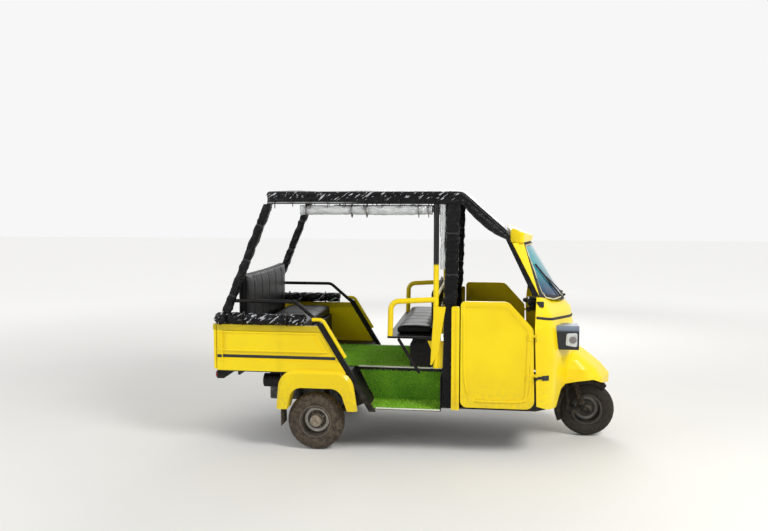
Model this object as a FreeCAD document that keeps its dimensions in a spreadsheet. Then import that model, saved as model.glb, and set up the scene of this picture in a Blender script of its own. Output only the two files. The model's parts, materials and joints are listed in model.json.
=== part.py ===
import FreeCAD, Part
import math
import os
import re
import Sketcher
from FreeCAD import Vector

# Three-wheeled passenger rickshaw. X runs forward, Y to its left and Z up from the ground,
# with the origin under the middle of the whole vehicle. Lengths are millimetres.

doc = FreeCAD.newDocument("AutoRickshaw")
sizes = doc.addObject("Spreadsheet::Sheet", "Sizes")

# Driving dimensions: name, number.
driving = [
    # stance
    ("wheelbase", 1950), ("front_axle_x", 1245), ("rear_track", 1170), ("body_half", 650),
    ("fender_flare", 30), ("move_gap", 8), ("fit_gap", 0.3), ("pin_gap", 0.05),
    # wheels
    ("tyre_radius", 205), ("tyre_width", 100), ("bead_radius", 103), ("bead_width", 76),
    ("rim_wall", 4), ("rim_lip", 12), ("rim_well", 14), ("hub_radius", 33),
    ("hub_length", 78), ("axle_radius", 11), ("tyre_shoulder", 16), ("tyre_crown", 24), ("tyre_bulge", 26),
    # chassis
    ("sheet_thick", 6), ("mat_thick", 6), ("deck_top", 567), ("deck_front", 185),
    ("cab_floor_top", 345), ("floor_thick", 12), ("cab_floor_front", 950),
    ("rail_height", 60), ("rail_width", 50), ("rail_spacing", 600), ("frame_rear", -1425),
    ("engine_member_x", -1060), ("pivot_member_x", -520), ("kick_x", 130),
    ("hitch_face", -1450), ("hitch_width", 200), ("hitch_height", 100), ("hitch_plate", 12),
    ("hitch_hole", 6.5), ("hitch_pitch_y", 130), ("hitch_pitch_z", 56), ("hitch_z", 445),
    # step wells
    ("step_top", 327), ("well_inner", 400), ("well_front", 179),
    ("well_rear_low", -313), ("well_rear_high", -459), ("trim_thick", 8), ("trim_height", 18),
    # rear load box
    ("box_top", 892), ("side_thick", 22), ("side_rear", -1415), ("side_front_low", -475),
    ("side_front_high", -670), ("rib_proud", 5), ("rim_height", 42), ("sill_height", 78),
    ("press_depth", 9), ("press_low", 705), ("press_high", 838), ("press_setback", 85), ("press_edge", 28),
    ("tailgate_thick", 22), ("tailgate_hinge_x", -1440), ("tailgate_hinge_z", 556),
    ("gate_hinge_y", 500), ("hinge_radius", 8), ("pin_radius", 4.5),
    ("leaf_thick", 4), ("hinge_width", 36), ("hinge_leaf", 52), ("hinge_reach", 55), ("hinge_bend", 24),
    ("gate_gap", 2), ("gate_round", 10), ("gate_press", 60), ("gate_press_round", 18),
    # fenders
    ("fender_rear", -980), ("fender_front", -397), ("fender_low", 300), ("fender_high", 578),
    ("fender_round", 130), ("fender_lean_rear", 25), ("fender_lean_front", 43), ("fender_bevel", 20),
    ("arch_rear", -900), ("arch_front", -467), ("arch_high", 457), ("arch_round", 90),
    ("arch_lean_rear", 35), ("arch_lean_front", 53), ("arch_depth", 130),
    ("flap_x", -950), ("flap_low", 170), ("flap_width", 140),
    # doors and cab corners
    ("door_rear", 318), ("door_low", 352), ("door_top", 1085), ("door_slope_x", 640),
    ("door_nose_x", 806), ("door_nose_z", 905), ("door_foot_x", 820), ("door_thick", 30),
    ("door_round", 60), ("door_foot_round", 45), ("door_nose_round", 40),
    ("door_hinge_x", 829), ("door_hinge_proud", 12), ("door_hinge_low", 580),
    ("door_hinge_high", 850), ("corner_rear", 256), ("corner_low", 331), ("corner_top", 1048),
    # cowl, bulkhead and steering head
    ("panel_thick", 12), ("bulkhead_top", 700), ("lamp_rear", 950), ("lamp_face", 1125),
    ("lamp_inner", 338), ("lamp_outer", 504), ("lamp_low", 739), ("lamp_high", 908),
    ("lamp_round", 22), ("bezel_wide", 9), ("lens_inset", 6),
    # windscreen: lower and upper arcs of its outer face
    ("screen_low_x", 1066), ("screen_low_z", 1048), ("screen_low_side_x", 847),
    ("screen_low_side_z", 1109), ("screen_low_half", 520), ("screen_high_x", 806),
    ("screen_high_z", 1480), ("screen_high_side_x", 738), ("screen_high_half", 420),
    ("screen_depth", 26), ("screen_border", 34), ("glass_thick", 5),
    ("visor_rear_x", 667), ("visor_rear_z", 1579), ("visor_tip_x", 830), ("visor_tip_z", 1504),
    ("visor_half", 480), ("quarter_thick", 4), ("quarter_foot_z", 1113), ("quarter_head_gap", 3.5),
    # roof
    ("roof_rear", -1055), ("roof_knee", 325), ("roof_front", 651), ("roof_half", 620),
    ("roof_front_half", 545), ("band_low", 1745), ("band_high", 1833), ("roof_rise", 15),
    ("front_band_low", 1494), ("front_band_high", 1542), ("cover_thick", 8), ("cover_round", 26),
    ("roof_tube", 16), ("pillar_foot_x", -1412), ("pillar_foot_z", 892), ("pillar_wide", 48),
    ("pillar_outer", "=body_half - 14"), ("pillar_deep", 46), ("post_foot_rear", 188),
    ("post_foot_front", 262),
    ("post_head_rear", 224), ("post_head_front", 305), ("post_outer", "=body_half - 30"), ("post_deep", 36),
    ("front_pillar_wide", 46), ("front_pillar_foot", 558),
    # tubes at the sides
    ("strut_wide", 45), ("strut_deep", 26), ("strut_chamfer", 16), ("strut_high_x", -675),
    ("strut_high_z", 923),
    ("strut_low_x", -294), ("strut_low_z", 296), ("rail_tube", 13), ("guard_z", 1057),
    ("guard_front", -845), ("hoop_tube", 19), ("hoop_y", "=body_half - 50"), ("hoop_rear", -167),
    ("hoop_front", 146), ("hoop_high", 1069), ("hoop_bend", 60), ("upright_foot", 611),
    ("gusset_height", 190), ("plate_top", 1042), ("plate_waist", 731), ("plate_foot", 636),
    # seats
    ("jump_rear", -145), ("jump_front", 122), ("jump_pan_z", 829), ("jump_cushion", 62),
    ("pan_thick", 14), ("seat_half", "=body_half - 90"), ("locker_rear", -55), ("locker_top", 740),
    ("locker_half", 385), ("back_thick", 42),
    ("jump_back_thick", 24), ("jump_back_low", 905), ("jump_back_top", 1150),
    ("bench_rear", -1290), ("bench_front", -830),
    ("bench_base_top", 800), ("bench_cushion", 85), ("bench_back_top", 1250),
    ("bench_back_thick", 70), ("driver_rear", 212), ("driver_front", 520),
    ("driver_base_top", 690), ("driver_cushion", 80), ("driver_half", 400),
    ("driver_back_top", 1110),
    # drive line
    ("engine_rear", -1160), ("engine_front", -930), ("engine_half", 220), ("engine_low", 250),
    ("case_half", 110), ("case_radius", 95), ("shaft_radius", 16), ("arm_y", 440),
    ("arm_width", 40), ("arm_height", 46), ("pivot_x", -380), ("pivot_z", 330), ("damper_radius", 26),
    ("damper_x", -660), ("damper_rod", 100), ("muffler_radius", 50), ("muffler_length", 165),
    ("muffler_x", -1145), ("muffler_y", 380), ("muffler_z", 435), ("exhaust_radius", 22),
    ("lamp_deep", 11.7),
    # steering and front wheel
    ("rake", 25), ("trail", 65), ("stem_radius", 18), ("head_radius", 32), ("head_low_z", 560),
    ("head_high_z", 735), ("bar_z", 985), ("bar_radius", 13), ("bar_half", 270),
    ("bar_sweep", 60), ("crown_z", 478), ("crown_rear", 32), ("crown_front", 62), ("leg_y", 84),
    ("leg_radius", 15), ("link_length", 160), ("spring_radius", 22), ("guard_gap", 30), ("guard_width", 112),
    ("guard_arc", 150), ("guard_turn", 38),
    # soft rolls and hanging curtains
    ("roll_radius", 44), ("roll_rear", -805), ("roll_front", 115), ("roll_y", 590),
    ("tonneau_radius", 42), ("bundle_x", 189), ("bundle_low", 1300), ("bundle_radius", 22),
    ("bundle_waist", 16), ("bundle_waist_z", 1480),
]
names = [row[0] for row in driving]
for row, (name, number) in enumerate(driving, start=1):
    sizes.set(f"A{row}", name)
    sizes.set(f"B{row}", str(number))
    sizes.setAlias(f"B{row}", name)
doc.recompute()

# Places that follow from the driving dimensions.
rear_axle_x = "(front_axle_x - wheelbase)"
wheel_y = "(rear_track / 2)"
deck_plate_top = "(deck_top - mat_thick)"
deck_under = "(deck_top - mat_thick - sheet_thick)"
cab_under = "(cab_floor_top - floor_thick)"
box_inner = "(body_half - side_thick)"
rail_y = "(rail_spacing / 2)"
rail_outer = "(rail_spacing / 2 + rail_width / 2)"
door_inner = "(body_half - door_thick)"
side_slope = f"((side_front_high - side_front_low) / (box_top - {deck_plate_top}))"
strut_slope = "((strut_low_x - strut_high_x) / (strut_high_z - strut_low_z))"
pillar_slope = "((roof_rear - pillar_foot_x) / (band_low - pillar_foot_z))"
screen_slope = "((screen_low_side_z - screen_low_z) / (screen_low_x - screen_low_side_x))"
front_edge_slope = "((band_low - front_band_low) / (roof_front - roof_knee))"

nodes = []


def bound(text):
    """The same expression with each dimension's name pointing at its cell."""
    return re.sub(r"[a-z_]+", lambda word: "Sizes." + word[0] if word[0] in names else word[0], str(text))


def value(text):
    return float(sizes.evalExpression(bound(text)))


def bind(thing, prop, text):
    thing.setExpression(prop, bound(text))


def keep(thing, label):
    """Names a finished sub-part and puts it on the list that is written out."""
    thing.Label = label
    nodes.append(thing)
    return thing


def new_body(name):
    return doc.addObject("PartDesign::Body", name)


def round_corner(sketch, before, after, corner, start, end, radius):
    """An arc tangent to both lines; the sharp corner stays as a construction point."""
    middle = ((start - corner) + (end - corner)).normalize()
    half = (start - corner).getAngle(middle)
    size = (start - corner).Length * math.tan(half)
    centre = corner + middle * ((start - corner).Length / math.cos(half))
    turns = [math.atan2(tip.y - centre.y, tip.x - centre.x) for tip in (start, end)]
    at_start, at_end = (1, 2) if (turns[1] - turns[0]) % (2 * math.pi) < math.pi else (2, 1)
    if at_start == 2:
        turns.reverse()
    circle = Part.Circle(centre, Vector(0, 0, 1), size)
    arc = sketch.addGeometry(Part.ArcOfCircle(circle, *turns), False)
    sketch.addConstraint(Sketcher.Constraint("Tangent", before, 2, arc, at_start))
    sketch.addConstraint(Sketcher.Constraint("Tangent", arc, at_end, after, 1))
    index = sketch.addConstraint(Sketcher.Constraint("Radius", arc, size))
    sketch.setExpression(f"Constraints[{index}]", bound(radius))
    point = sketch.addGeometry(Part.Point(corner), True)
    sketch.addConstraint(Sketcher.Constraint("PointOnObject", point, 1, before))
    sketch.addConstraint(Sketcher.Constraint("PointOnObject", point, 1, after))
    return point


def draw(sketch, corners, closed=True):
    """Straight lines through (across, up) corners; a third entry rounds that corner."""
    count = len(corners)
    points = [Vector(value(corner[0]), value(corner[1]), 0) for corner in corners]
    enter, leave = list(points), list(points)
    for i, corner in enumerate(corners):
        if len(corner) == 3:
            back = (points[i - 1] - points[i]).normalize()
            ahead = (points[(i + 1) % count] - points[i]).normalize()
            reach = value(corner[2]) / math.tan(back.getAngle(ahead) / 2)
            enter[i] = points[i] + back * reach
            leave[i] = points[i] + ahead * reach
    lines = []
    for i in range(count if closed else count - 1):
        line = Part.LineSegment(leave[i], enter[(i + 1) % count])
        lines.append(sketch.addGeometry(line, False))
    for i, corner in enumerate(corners):
        if not closed and i in (0, count - 1):
            spot = (lines[0], 1) if i == 0 else (lines[-1], 2)
        elif len(corner) == 3:
            arc_ends = (lines[i - 1], lines[i], points[i], enter[i], leave[i], corner[2])
            spot = (round_corner(sketch, *arc_ends), 1)
        else:
            sketch.addConstraint(Sketcher.Constraint("Coincident", lines[i - 1], 2, lines[i], 1))
            spot = (lines[i], 1)
        for kind, text, number in zip(("DistanceX", "DistanceY"), corner, (points[i].x, points[i].y)):
            index = sketch.addConstraint(Sketcher.Constraint(kind, -1, 1, spot[0], spot[1], number))
            sketch.setExpression(f"Constraints[{index}]", bound(text))


def draw_circle(sketch, across, up, radius):
    centre = Vector(value(across), value(up), 0)
    circle = sketch.addGeometry(Part.Circle(centre, Vector(0, 0, 1), value(radius)), False)
    for kind, text, number in (("DistanceX", across, centre.x), ("DistanceY", up, centre.y)):
        index = sketch.addConstraint(Sketcher.Constraint(kind, -1, 1, circle, 3, number))
        sketch.setExpression(f"Constraints[{index}]", bound(text))
    index = sketch.addConstraint(Sketcher.Constraint("Radius", circle, value(radius)))
    sketch.setExpression(f"Constraints[{index}]", bound(radius))


def sketch_on(body, plane, offset, *loops):
    """Sketch on the body's own XY, XZ or YZ plane; XZ offsets run towards the right-hand side."""
    sketch = body.newObject("Sketcher::SketchObject", body.Name + "_sketch")
    origin = next(item for item in body.Origin.OriginFeatures if item.Role == plane + "_Plane")
    sketch.AttachmentSupport = [(origin, "")]
    sketch.MapMode = "FlatFace"
    bind(sketch, "AttachmentOffset.Base.z", offset)
    for loop in loops:
        if loop[0] == "circle":
            draw_circle(sketch, *loop[1:])
        else:
            draw(sketch, loop)
    return sketch


def pad(body, plane, offset, length, *loops, middle=False):
    feature = body.newObject("PartDesign::Pad", body.Name + "_pad")
    feature.Profile = sketch_on(body, plane, offset, *loops)
    bind(feature, "Length", length)
    feature.Midplane = middle
    return feature


def pocket(body, plane, offset, depth, *loops, middle=False):
    """A cut from the sketch back towards the body's middle plane, or both ways."""
    feature = body.newObject("PartDesign::Pocket", body.Name + "_pocket")
    feature.Profile = sketch_on(body, plane, offset, *loops)
    bind(feature, "Length", depth)
    feature.Midplane = middle
    return feature


def revolve(body, plane, *loops, cut=False):
    """A turn about the sketch's horizontal axis."""
    kind = "PartDesign::Groove" if cut else "PartDesign::Revolution"
    feature = body.newObject(kind, body.Name + "_turn")
    feature.Profile = sketch_on(body, plane, "0", *loops)
    feature.ReferenceAxis = (feature.Profile[0], ["H_Axis"])
    return feature


def loft(body, plane, sections, cut=False):
    """Straight loft through (offset, outline) sections."""
    kind = "PartDesign::SubtractiveLoft" if cut else "PartDesign::AdditiveLoft"
    sketches = [sketch_on(body, plane, offset, outline) for offset, outline in sections]
    feature = body.newObject(kind, body.Name + "_loft")
    feature.Profile = sketches[0]
    feature.Sections = sketches[1:]
    feature.Ruled = True
    return feature


def rectangle(low_a, low_b, high_a, high_b, *radius):
    corners = ((low_a, low_b), (high_a, low_b), (high_a, high_b), (low_a, high_b))
    return [corner + radius for corner in corners]


def pipe(body, plane, offset, route, radius):
    """A round bar along a flat route with bent corners."""
    path = sketch_on(body, plane, offset)
    draw(path, route, closed=False)
    doc.recompute()
    ring = body.newObject("Sketcher::SketchObject", body.Name + "_ring")
    ring.AttachmentSupport = [(path, "Edge1")]
    ring.MapMode = "NormalToEdge"
    draw_circle(ring, "0", "0", radius)
    feature = body.newObject("PartDesign::AdditivePipe", body.Name + "_pipe")
    feature.Profile = ring
    feature.Spine = (path, [f"Edge{i + 1}" for i in range(len(path.Shape.Edges))])
    feature.Transition = "Transformed"
    return feature


def mirrored(source, name):
    twin = doc.addObject("Part::Mirroring", name)
    twin.Source = source
    twin.Normal = Vector(0, 1, 0)
    return twin


def group(label, pieces):
    """Like pieces of one colour that share a node."""
    bundle = doc.addObject("Part::Compound", label)
    bundle.Links = pieces
    return keep(bundle, label)


def pair_of(*pieces):
    """Right-hand pieces, each followed by its mirror image."""
    return [item for piece in pieces for item in (piece, mirrored(piece, piece.Name + "_left"))]


def both_sides(source, label):
    return group(label, pair_of(source))


def fused(name, pieces):
    weld = doc.addObject("Part::MultiFuse", name)
    weld.Shapes = pieces
    return weld


def raked_bar(name, radius, low_z, high_z):
    """A round bar along the steering axis between two heights."""
    bar = doc.addObject("Part::Cylinder", name)
    bar.Placement.Rotation = FreeCAD.Rotation(Vector(0, 1, 0), -1)
    bind(bar, "Placement.Rotation.Angle", "-rake")
    bind(bar, "Placement.Base.x", steering_point(low_z))
    bind(bar, "Placement.Base.z", low_z)
    bind(bar, "Radius", radius)
    bind(bar, "Height", f"({high_z} - ({low_z})) / cos(rake)")
    return bar


def steering_point(height):
    """X of the steering axis at a height."""
    return f"(front_axle_x + trail - tan(rake) * ({height}))"


def each_side(source, label):
    """The right-hand piece and its mirror image as a node each."""
    keep(source, label + "_right")
    keep(mirrored(source, label + "_left"), label + "_left")


def strut_outline(margin):
    """Side view of the slanting strut, widened by a margin."""
    half = f"(strut_wide / 2 + {margin})"
    return [(f"strut_high_x - {half}", "strut_high_z"),
            (f"strut_high_x + {half} - strut_chamfer", "strut_high_z"),
            (f"strut_high_x + {half} + {strut_slope} * strut_chamfer", "strut_high_z - strut_chamfer"),
            (f"strut_low_x + {half}", "strut_low_z"), (f"strut_low_x - {half}", "strut_low_z")]


def notch_for_strut(body, side="right"):
    depth = "(strut_deep + fit_gap)"
    start = "body_half" if side == "right" else f"{depth} - body_half"
    pocket(body, "XZ", start, depth, strut_outline("fit_gap"))


def make_chassis():
    body = new_body("chassis_frame")
    # cross members: rear edge, height of their top, half length
    members = [
        ("cab_floor_front - rail_width", cab_under, rail_outer),
        ("frame_rear", deck_under, "body_half - side_thick"),
        ("engine_member_x - rail_width / 2", deck_under, rail_outer),
        ("pivot_member_x", deck_under, "arm_y + arm_width / 2 + leaf_thick"),
        ("kick_x", deck_under, "well_inner - sheet_thick"),
    ]
    side = [
        ("frame_rear", f"{deck_under} - rail_height"), ("kick_x", f"{deck_under} - rail_height"),
        ("kick_x", f"{cab_under} - rail_height"), ("cab_floor_front", f"{cab_under} - rail_height"),
        ("cab_floor_front", cab_under), ("kick_x + rail_width", cab_under),
        ("kick_x + rail_width", deck_under), ("frame_rear", deck_under),
    ]
    rear, top, half = members[1]
    pad(body, "XY", f"{top} - rail_height", "rail_height",
        rectangle(rear, f"-({half})", f"{rear} + rail_width", half))
    pad(body, "XZ", f"{rail_y} - rail_width / 2", "rail_width", side)
    pad(body, "XZ", f"-{rail_y} - rail_width / 2", "rail_width", side)
    for rear, top, half in members[:1] + members[2:]:
        pad(body, "XY", f"{top} - rail_height", "rail_height",
            rectangle(rear, f"-({half})", f"{rear} + rail_width", half))
    # rear bumper beam with the hitch plate's four holes
    beam_low = f"{deck_under} - rail_height"
    pad(body, "YZ", "hitch_face", "hitch_plate",
        rectangle("-hitch_width / 2", "hitch_z - hitch_height / 2",
                  "hitch_width / 2", f"{beam_low} + rail_height / 2", "12"))
    for side_sign in ("-", ""):
        across = f"{side_sign}(hitch_width / 2 - rail_width / 2)"
        pad(body, "XZ", f"{across} - leaf_thick", "leaf_thick * 2", [
            ("hitch_face + hitch_plate", "hitch_z - hitch_height / 3"),
            ("frame_rear + rail_width", beam_low), ("frame_rear", f"{beam_low} + rail_height / 3"),
            ("hitch_face + hitch_plate", f"{beam_low} + rail_height / 3")])
    holes = [("circle", f"{a} * hitch_pitch_y / 2", f"hitch_z + {b} * hitch_pitch_z / 2", "hitch_hole")
             for a in (-1, 1) for b in (-1, 1)]
    pocket(body, "YZ", "hitch_face + hitch_plate", "hitch_plate", *holes)
    # pivot brackets for the trailing arms, hanging from the cross member
    for side_sign in ("-", ""):
        for inner in ("arm_y - arm_width / 2 - leaf_thick - fit_gap", "arm_y + arm_width / 2 + fit_gap"):
            start = f"({inner})" if side_sign == "" else f"-({inner}) - leaf_thick"
            pad(body, "XZ", start, "leaf_thick", [
                ("pivot_member_x", f"{beam_low} + rail_height / 2"),
                ("pivot_x - rail_width / 2", "pivot_z - arm_height / 2"),
                ("pivot_x + rail_width / 2", "pivot_z - arm_height / 2"),
                ("pivot_member_x + rail_width", f"{beam_low} + rail_height / 2")])
        # spring perch between the rail and the damper
        across = "-(arm_y + damper_radius + 8)" if side_sign else rail_outer
        far = f"-{rail_outer}" if side_sign else "arm_y + damper_radius + 8"
        pad(body, "XY", beam_low, "rail_height",
            rectangle("damper_x - damper_radius * 1.5", across, "damper_x + damper_radius * 1.5", far))
    keep(body, "chassis_frame")


def make_floors():
    body = new_body("deck")
    pad(body, "XY", deck_under, "sheet_thick", [
        ("side_rear", "-body_half"), ("well_rear_high", "-body_half"),
        ("well_rear_high", "-well_inner"), ("deck_front", "-well_inner"),
        ("deck_front", "well_inner"), ("well_rear_high", "well_inner"),
        ("well_rear_high", "body_half"), ("side_rear", "body_half")])
    for side in ("right", "left"):
        notch_for_strut(body, side)
    keep(body, "deck")
    well = new_body("step_well")
    lean = f"((well_rear_low - well_rear_high) / ({deck_under} - step_top))"
    low = "(step_top - mat_thick)"
    pad(well, "XZ", "well_inner - sheet_thick", "body_half - well_inner", [
        ("well_rear_low - sheet_thick", f"{low} - sheet_thick"),
        ("well_front + sheet_thick", f"{low} - sheet_thick"),
        ("well_front + sheet_thick", deck_under),
        ("well_rear_high - sheet_thick", deck_under)])
    pocket(well, "XZ", "body_half", "body_half - well_inner", [
        ("well_rear_low", low), ("well_front", low), ("well_front", f"{deck_under} + 1"),
        (f"well_rear_high - {lean}", f"{deck_under} + 1")])
    notch_for_strut(well)
    both_sides(well, "step_wells")
    floor = new_body("cab_floor")
    pad(floor, "XY", cab_under, "floor_thick", [
        ("deck_front", "-post_outer"), ("door_hinge_x", "-post_outer"),
        ("cab_floor_front", "-screen_low_half"),
        ("cab_floor_front", "screen_low_half"), ("door_hinge_x", "post_outer"),
        ("deck_front", "post_outer")])
    keep(floor, "cab_floor")


def make_mats():
    mats = new_body("deck_mat")
    pad(mats, "XY", deck_plate_top, "mat_thick",
        rectangle("bench_front", "-(well_inner - trim_thick)", "deck_front - trim_thick",
                  "well_inner - trim_thick"))
    tread = new_body("step_mat")
    low = "(step_top - mat_thick)"
    pad(tread, "XY", low, "mat_thick",
        rectangle("well_rear_low + mat_thick", "-(body_half - trim_thick - fit_gap)",
                  "well_front - mat_thick", "-(well_inner + mat_thick + fit_gap)"))
    notch_for_strut(tread)
    riser = new_body("riser_mat")
    pad(riser, "XZ", "well_inner", "mat_thick", [
        ("well_rear_low + mat_thick", low), ("well_front - mat_thick", low),
        ("well_front - mat_thick", f"{deck_under} - trim_height"),
        ("well_rear_high + 40", f"{deck_under} - trim_height")])
    group("floor_mats", [mats] + pair_of(tread, riser))
    # white nosing along the deck and step edges
    edge = new_body("deck_nosing")
    pad(edge, "XY", f"{deck_plate_top} + fit_gap", "mat_thick + 2",
        rectangle("well_rear_high + 30", "-(well_inner + trim_thick)", "well_front - fit_gap",
                  "-(well_inner - trim_thick + fit_gap)", "3"))
    step = new_body("step_nosing")
    pad(step, "XZ", "body_half - trim_thick", "trim_thick",
        rectangle("well_rear_low + strut_wide", "step_top - mat_thick", "well_front - fit_gap",
                  "step_top + 2"))
    group("edge_nosing", pair_of(edge, step))


def make_load_box():
    side = new_body("box_side")
    low, high = deck_plate_top, "box_top"
    pad(side, "XZ", box_inner, "side_thick - press_depth", [
        ("side_rear", low), ("side_front_low", low), ("side_front_high", high), ("side_rear", high)])
    # pressed bands: lower edge, upper edge, how far they stay from the rear and from the slanted front
    bands = [("box_top - rim_height", "box_top", "0", "0"), (low, f"{low} + sill_height", "0", "0"),
             ("press_low", "press_high", "rim_height + press_edge", "press_setback")]
    for bottom, top, behind, ahead in bands:
        pad(side, "XZ", "body_half - press_depth", "press_depth", [
            (f"side_rear + {behind}", bottom),
            (f"side_front_low - {ahead} + {side_slope} * ({bottom} - {low})", bottom),
            (f"side_front_low - {ahead} + {side_slope} * ({top} - {low})", top),
            (f"side_rear + {behind}", top)])
    pad(side, "XZ", "body_half - press_depth", "press_depth", rectangle(
        "side_rear", f"{low} + sill_height", "side_rear + rim_height", "box_top - rim_height"))
    notch_for_strut(side)
    both_sides(side, "box_sides")


def make_tailgate():
    gate = new_body("tailgate")
    gate_stations = ("-gate_hinge_y", "0", "gate_hinge_y")
    front = "(tailgate_hinge_x + tailgate_thick - 3)"
    low = "(tailgate_hinge_z + 10)"
    rear = f"({front} - tailgate_thick)"
    pad(gate, "YZ", f"{rear} + rib_proud", "tailgate_thick - rib_proud",
        rectangle("-(body_half - gate_gap)", low, "body_half - gate_gap", "box_top", "gate_round"))
    pad(gate, "YZ", rear, "rib_proud", rectangle(
        "-(body_half - gate_gap)", "box_top - rim_height", "body_half - gate_gap", "box_top", "gate_round"))
    pad(gate, "YZ", rear, "rib_proud", rectangle(
        "-(body_half - gate_press)", f"{low} + gate_press", "body_half - gate_press",
        "box_top - rim_height - gate_press * 2 / 3", "gate_press_round"))
    for across in gate_stations:
        lug = [("tailgate_hinge_x - hinge_radius", "tailgate_hinge_z"),
               ("tailgate_hinge_x - hinge_radius", f"{low} + 20"),
               (f"{rear} + rib_proud + 2", f"{low} + 20"),
               ("tailgate_hinge_x + hinge_radius", "tailgate_hinge_z")]
        start = f"{across} - hinge_width / 2"
        pad(gate, "XZ", start, "hinge_width", lug)
        pad(gate, "XZ", start, "hinge_width",
            ("circle", "tailgate_hinge_x", "tailgate_hinge_z", "hinge_radius"))
        pocket(gate, "XZ", f"{across} + hinge_width / 2", "hinge_width",
               ("circle", "tailgate_hinge_x", "tailgate_hinge_z", "pin_radius + pin_gap"))
    keep(gate, "tailgate")
    hinges = []
    for index, across in enumerate(gate_stations):
        knuckle = new_body(f"gate_hinge_{index}")
        pad(knuckle, "XZ", f"{across} - hinge_width", "hinge_width * 2",
            ("circle", "tailgate_hinge_x", "tailgate_hinge_z", "pin_radius"))
        for start in (f"{across} - hinge_width", f"{across} + hinge_width / 2 + 1"):
            ear = [("tailgate_hinge_x - hinge_radius", "tailgate_hinge_z"),
                   ("tailgate_hinge_x", "tailgate_hinge_z - hinge_radius"),
                   ("frame_rear", "tailgate_hinge_z - hinge_radius * 2"),
                   ("frame_rear", f"{deck_under}"),
                   ("tailgate_hinge_x + hinge_radius", "tailgate_hinge_z + hinge_radius / 2"),
                   ("tailgate_hinge_x", "tailgate_hinge_z + hinge_radius")]
            pad(knuckle, "XZ", start, "hinge_width / 2 - 1", ear)
        hinges.append(knuckle)
    return hinges


def arch_outline(low, grow):
    """Wheel arch with leaning sides, grown by the thickness of its wall."""
    return [
        (f"arch_rear - {grow}", low), (f"arch_front + {grow}", low),
        (f"arch_front - arch_lean_front + {grow}", f"arch_high + {grow}", "arch_round"),
        (f"arch_rear + arch_lean_rear - {grow}", f"arch_high + {grow}", "arch_round")]


def make_fenders():
    fender = new_body("rear_fender")
    # plate sections: offset, how far the outline draws in
    sections = [("body_half", "0"), ("body_half + fender_flare - fender_bevel", "0"),
                ("body_half + fender_flare", "fender_bevel")]
    loft(fender, "XZ", [(offset, [
        (f"fender_rear + {inset}", "fender_low"), (f"fender_front - {inset}", "fender_low"),
        (f"fender_front - fender_lean_front - {inset}", f"fender_high - {inset}", f"fender_round - {inset}"),
        (f"fender_rear + fender_lean_rear + {inset}", f"fender_high - {inset}", f"fender_round - {inset}")])
        for offset, inset in sections])
    pad(fender, "XZ", "body_half + fender_flare - arch_depth", "arch_depth - fender_flare",
        arch_outline("fender_low", "sheet_thick"))
    pocket(fender, "XZ", "body_half + fender_flare", "arch_depth + 1", arch_outline("fender_low - 1", "0"))
    both_sides(fender, "rear_fenders")
    flap = new_body("mudflap")
    pad(flap, "YZ", "flap_x", "sheet_thick",
        rectangle("-(body_half - fit_gap)", "flap_low", "flap_width - body_half", deck_under, "4"))
    both_sides(flap, "mudflaps")


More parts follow.
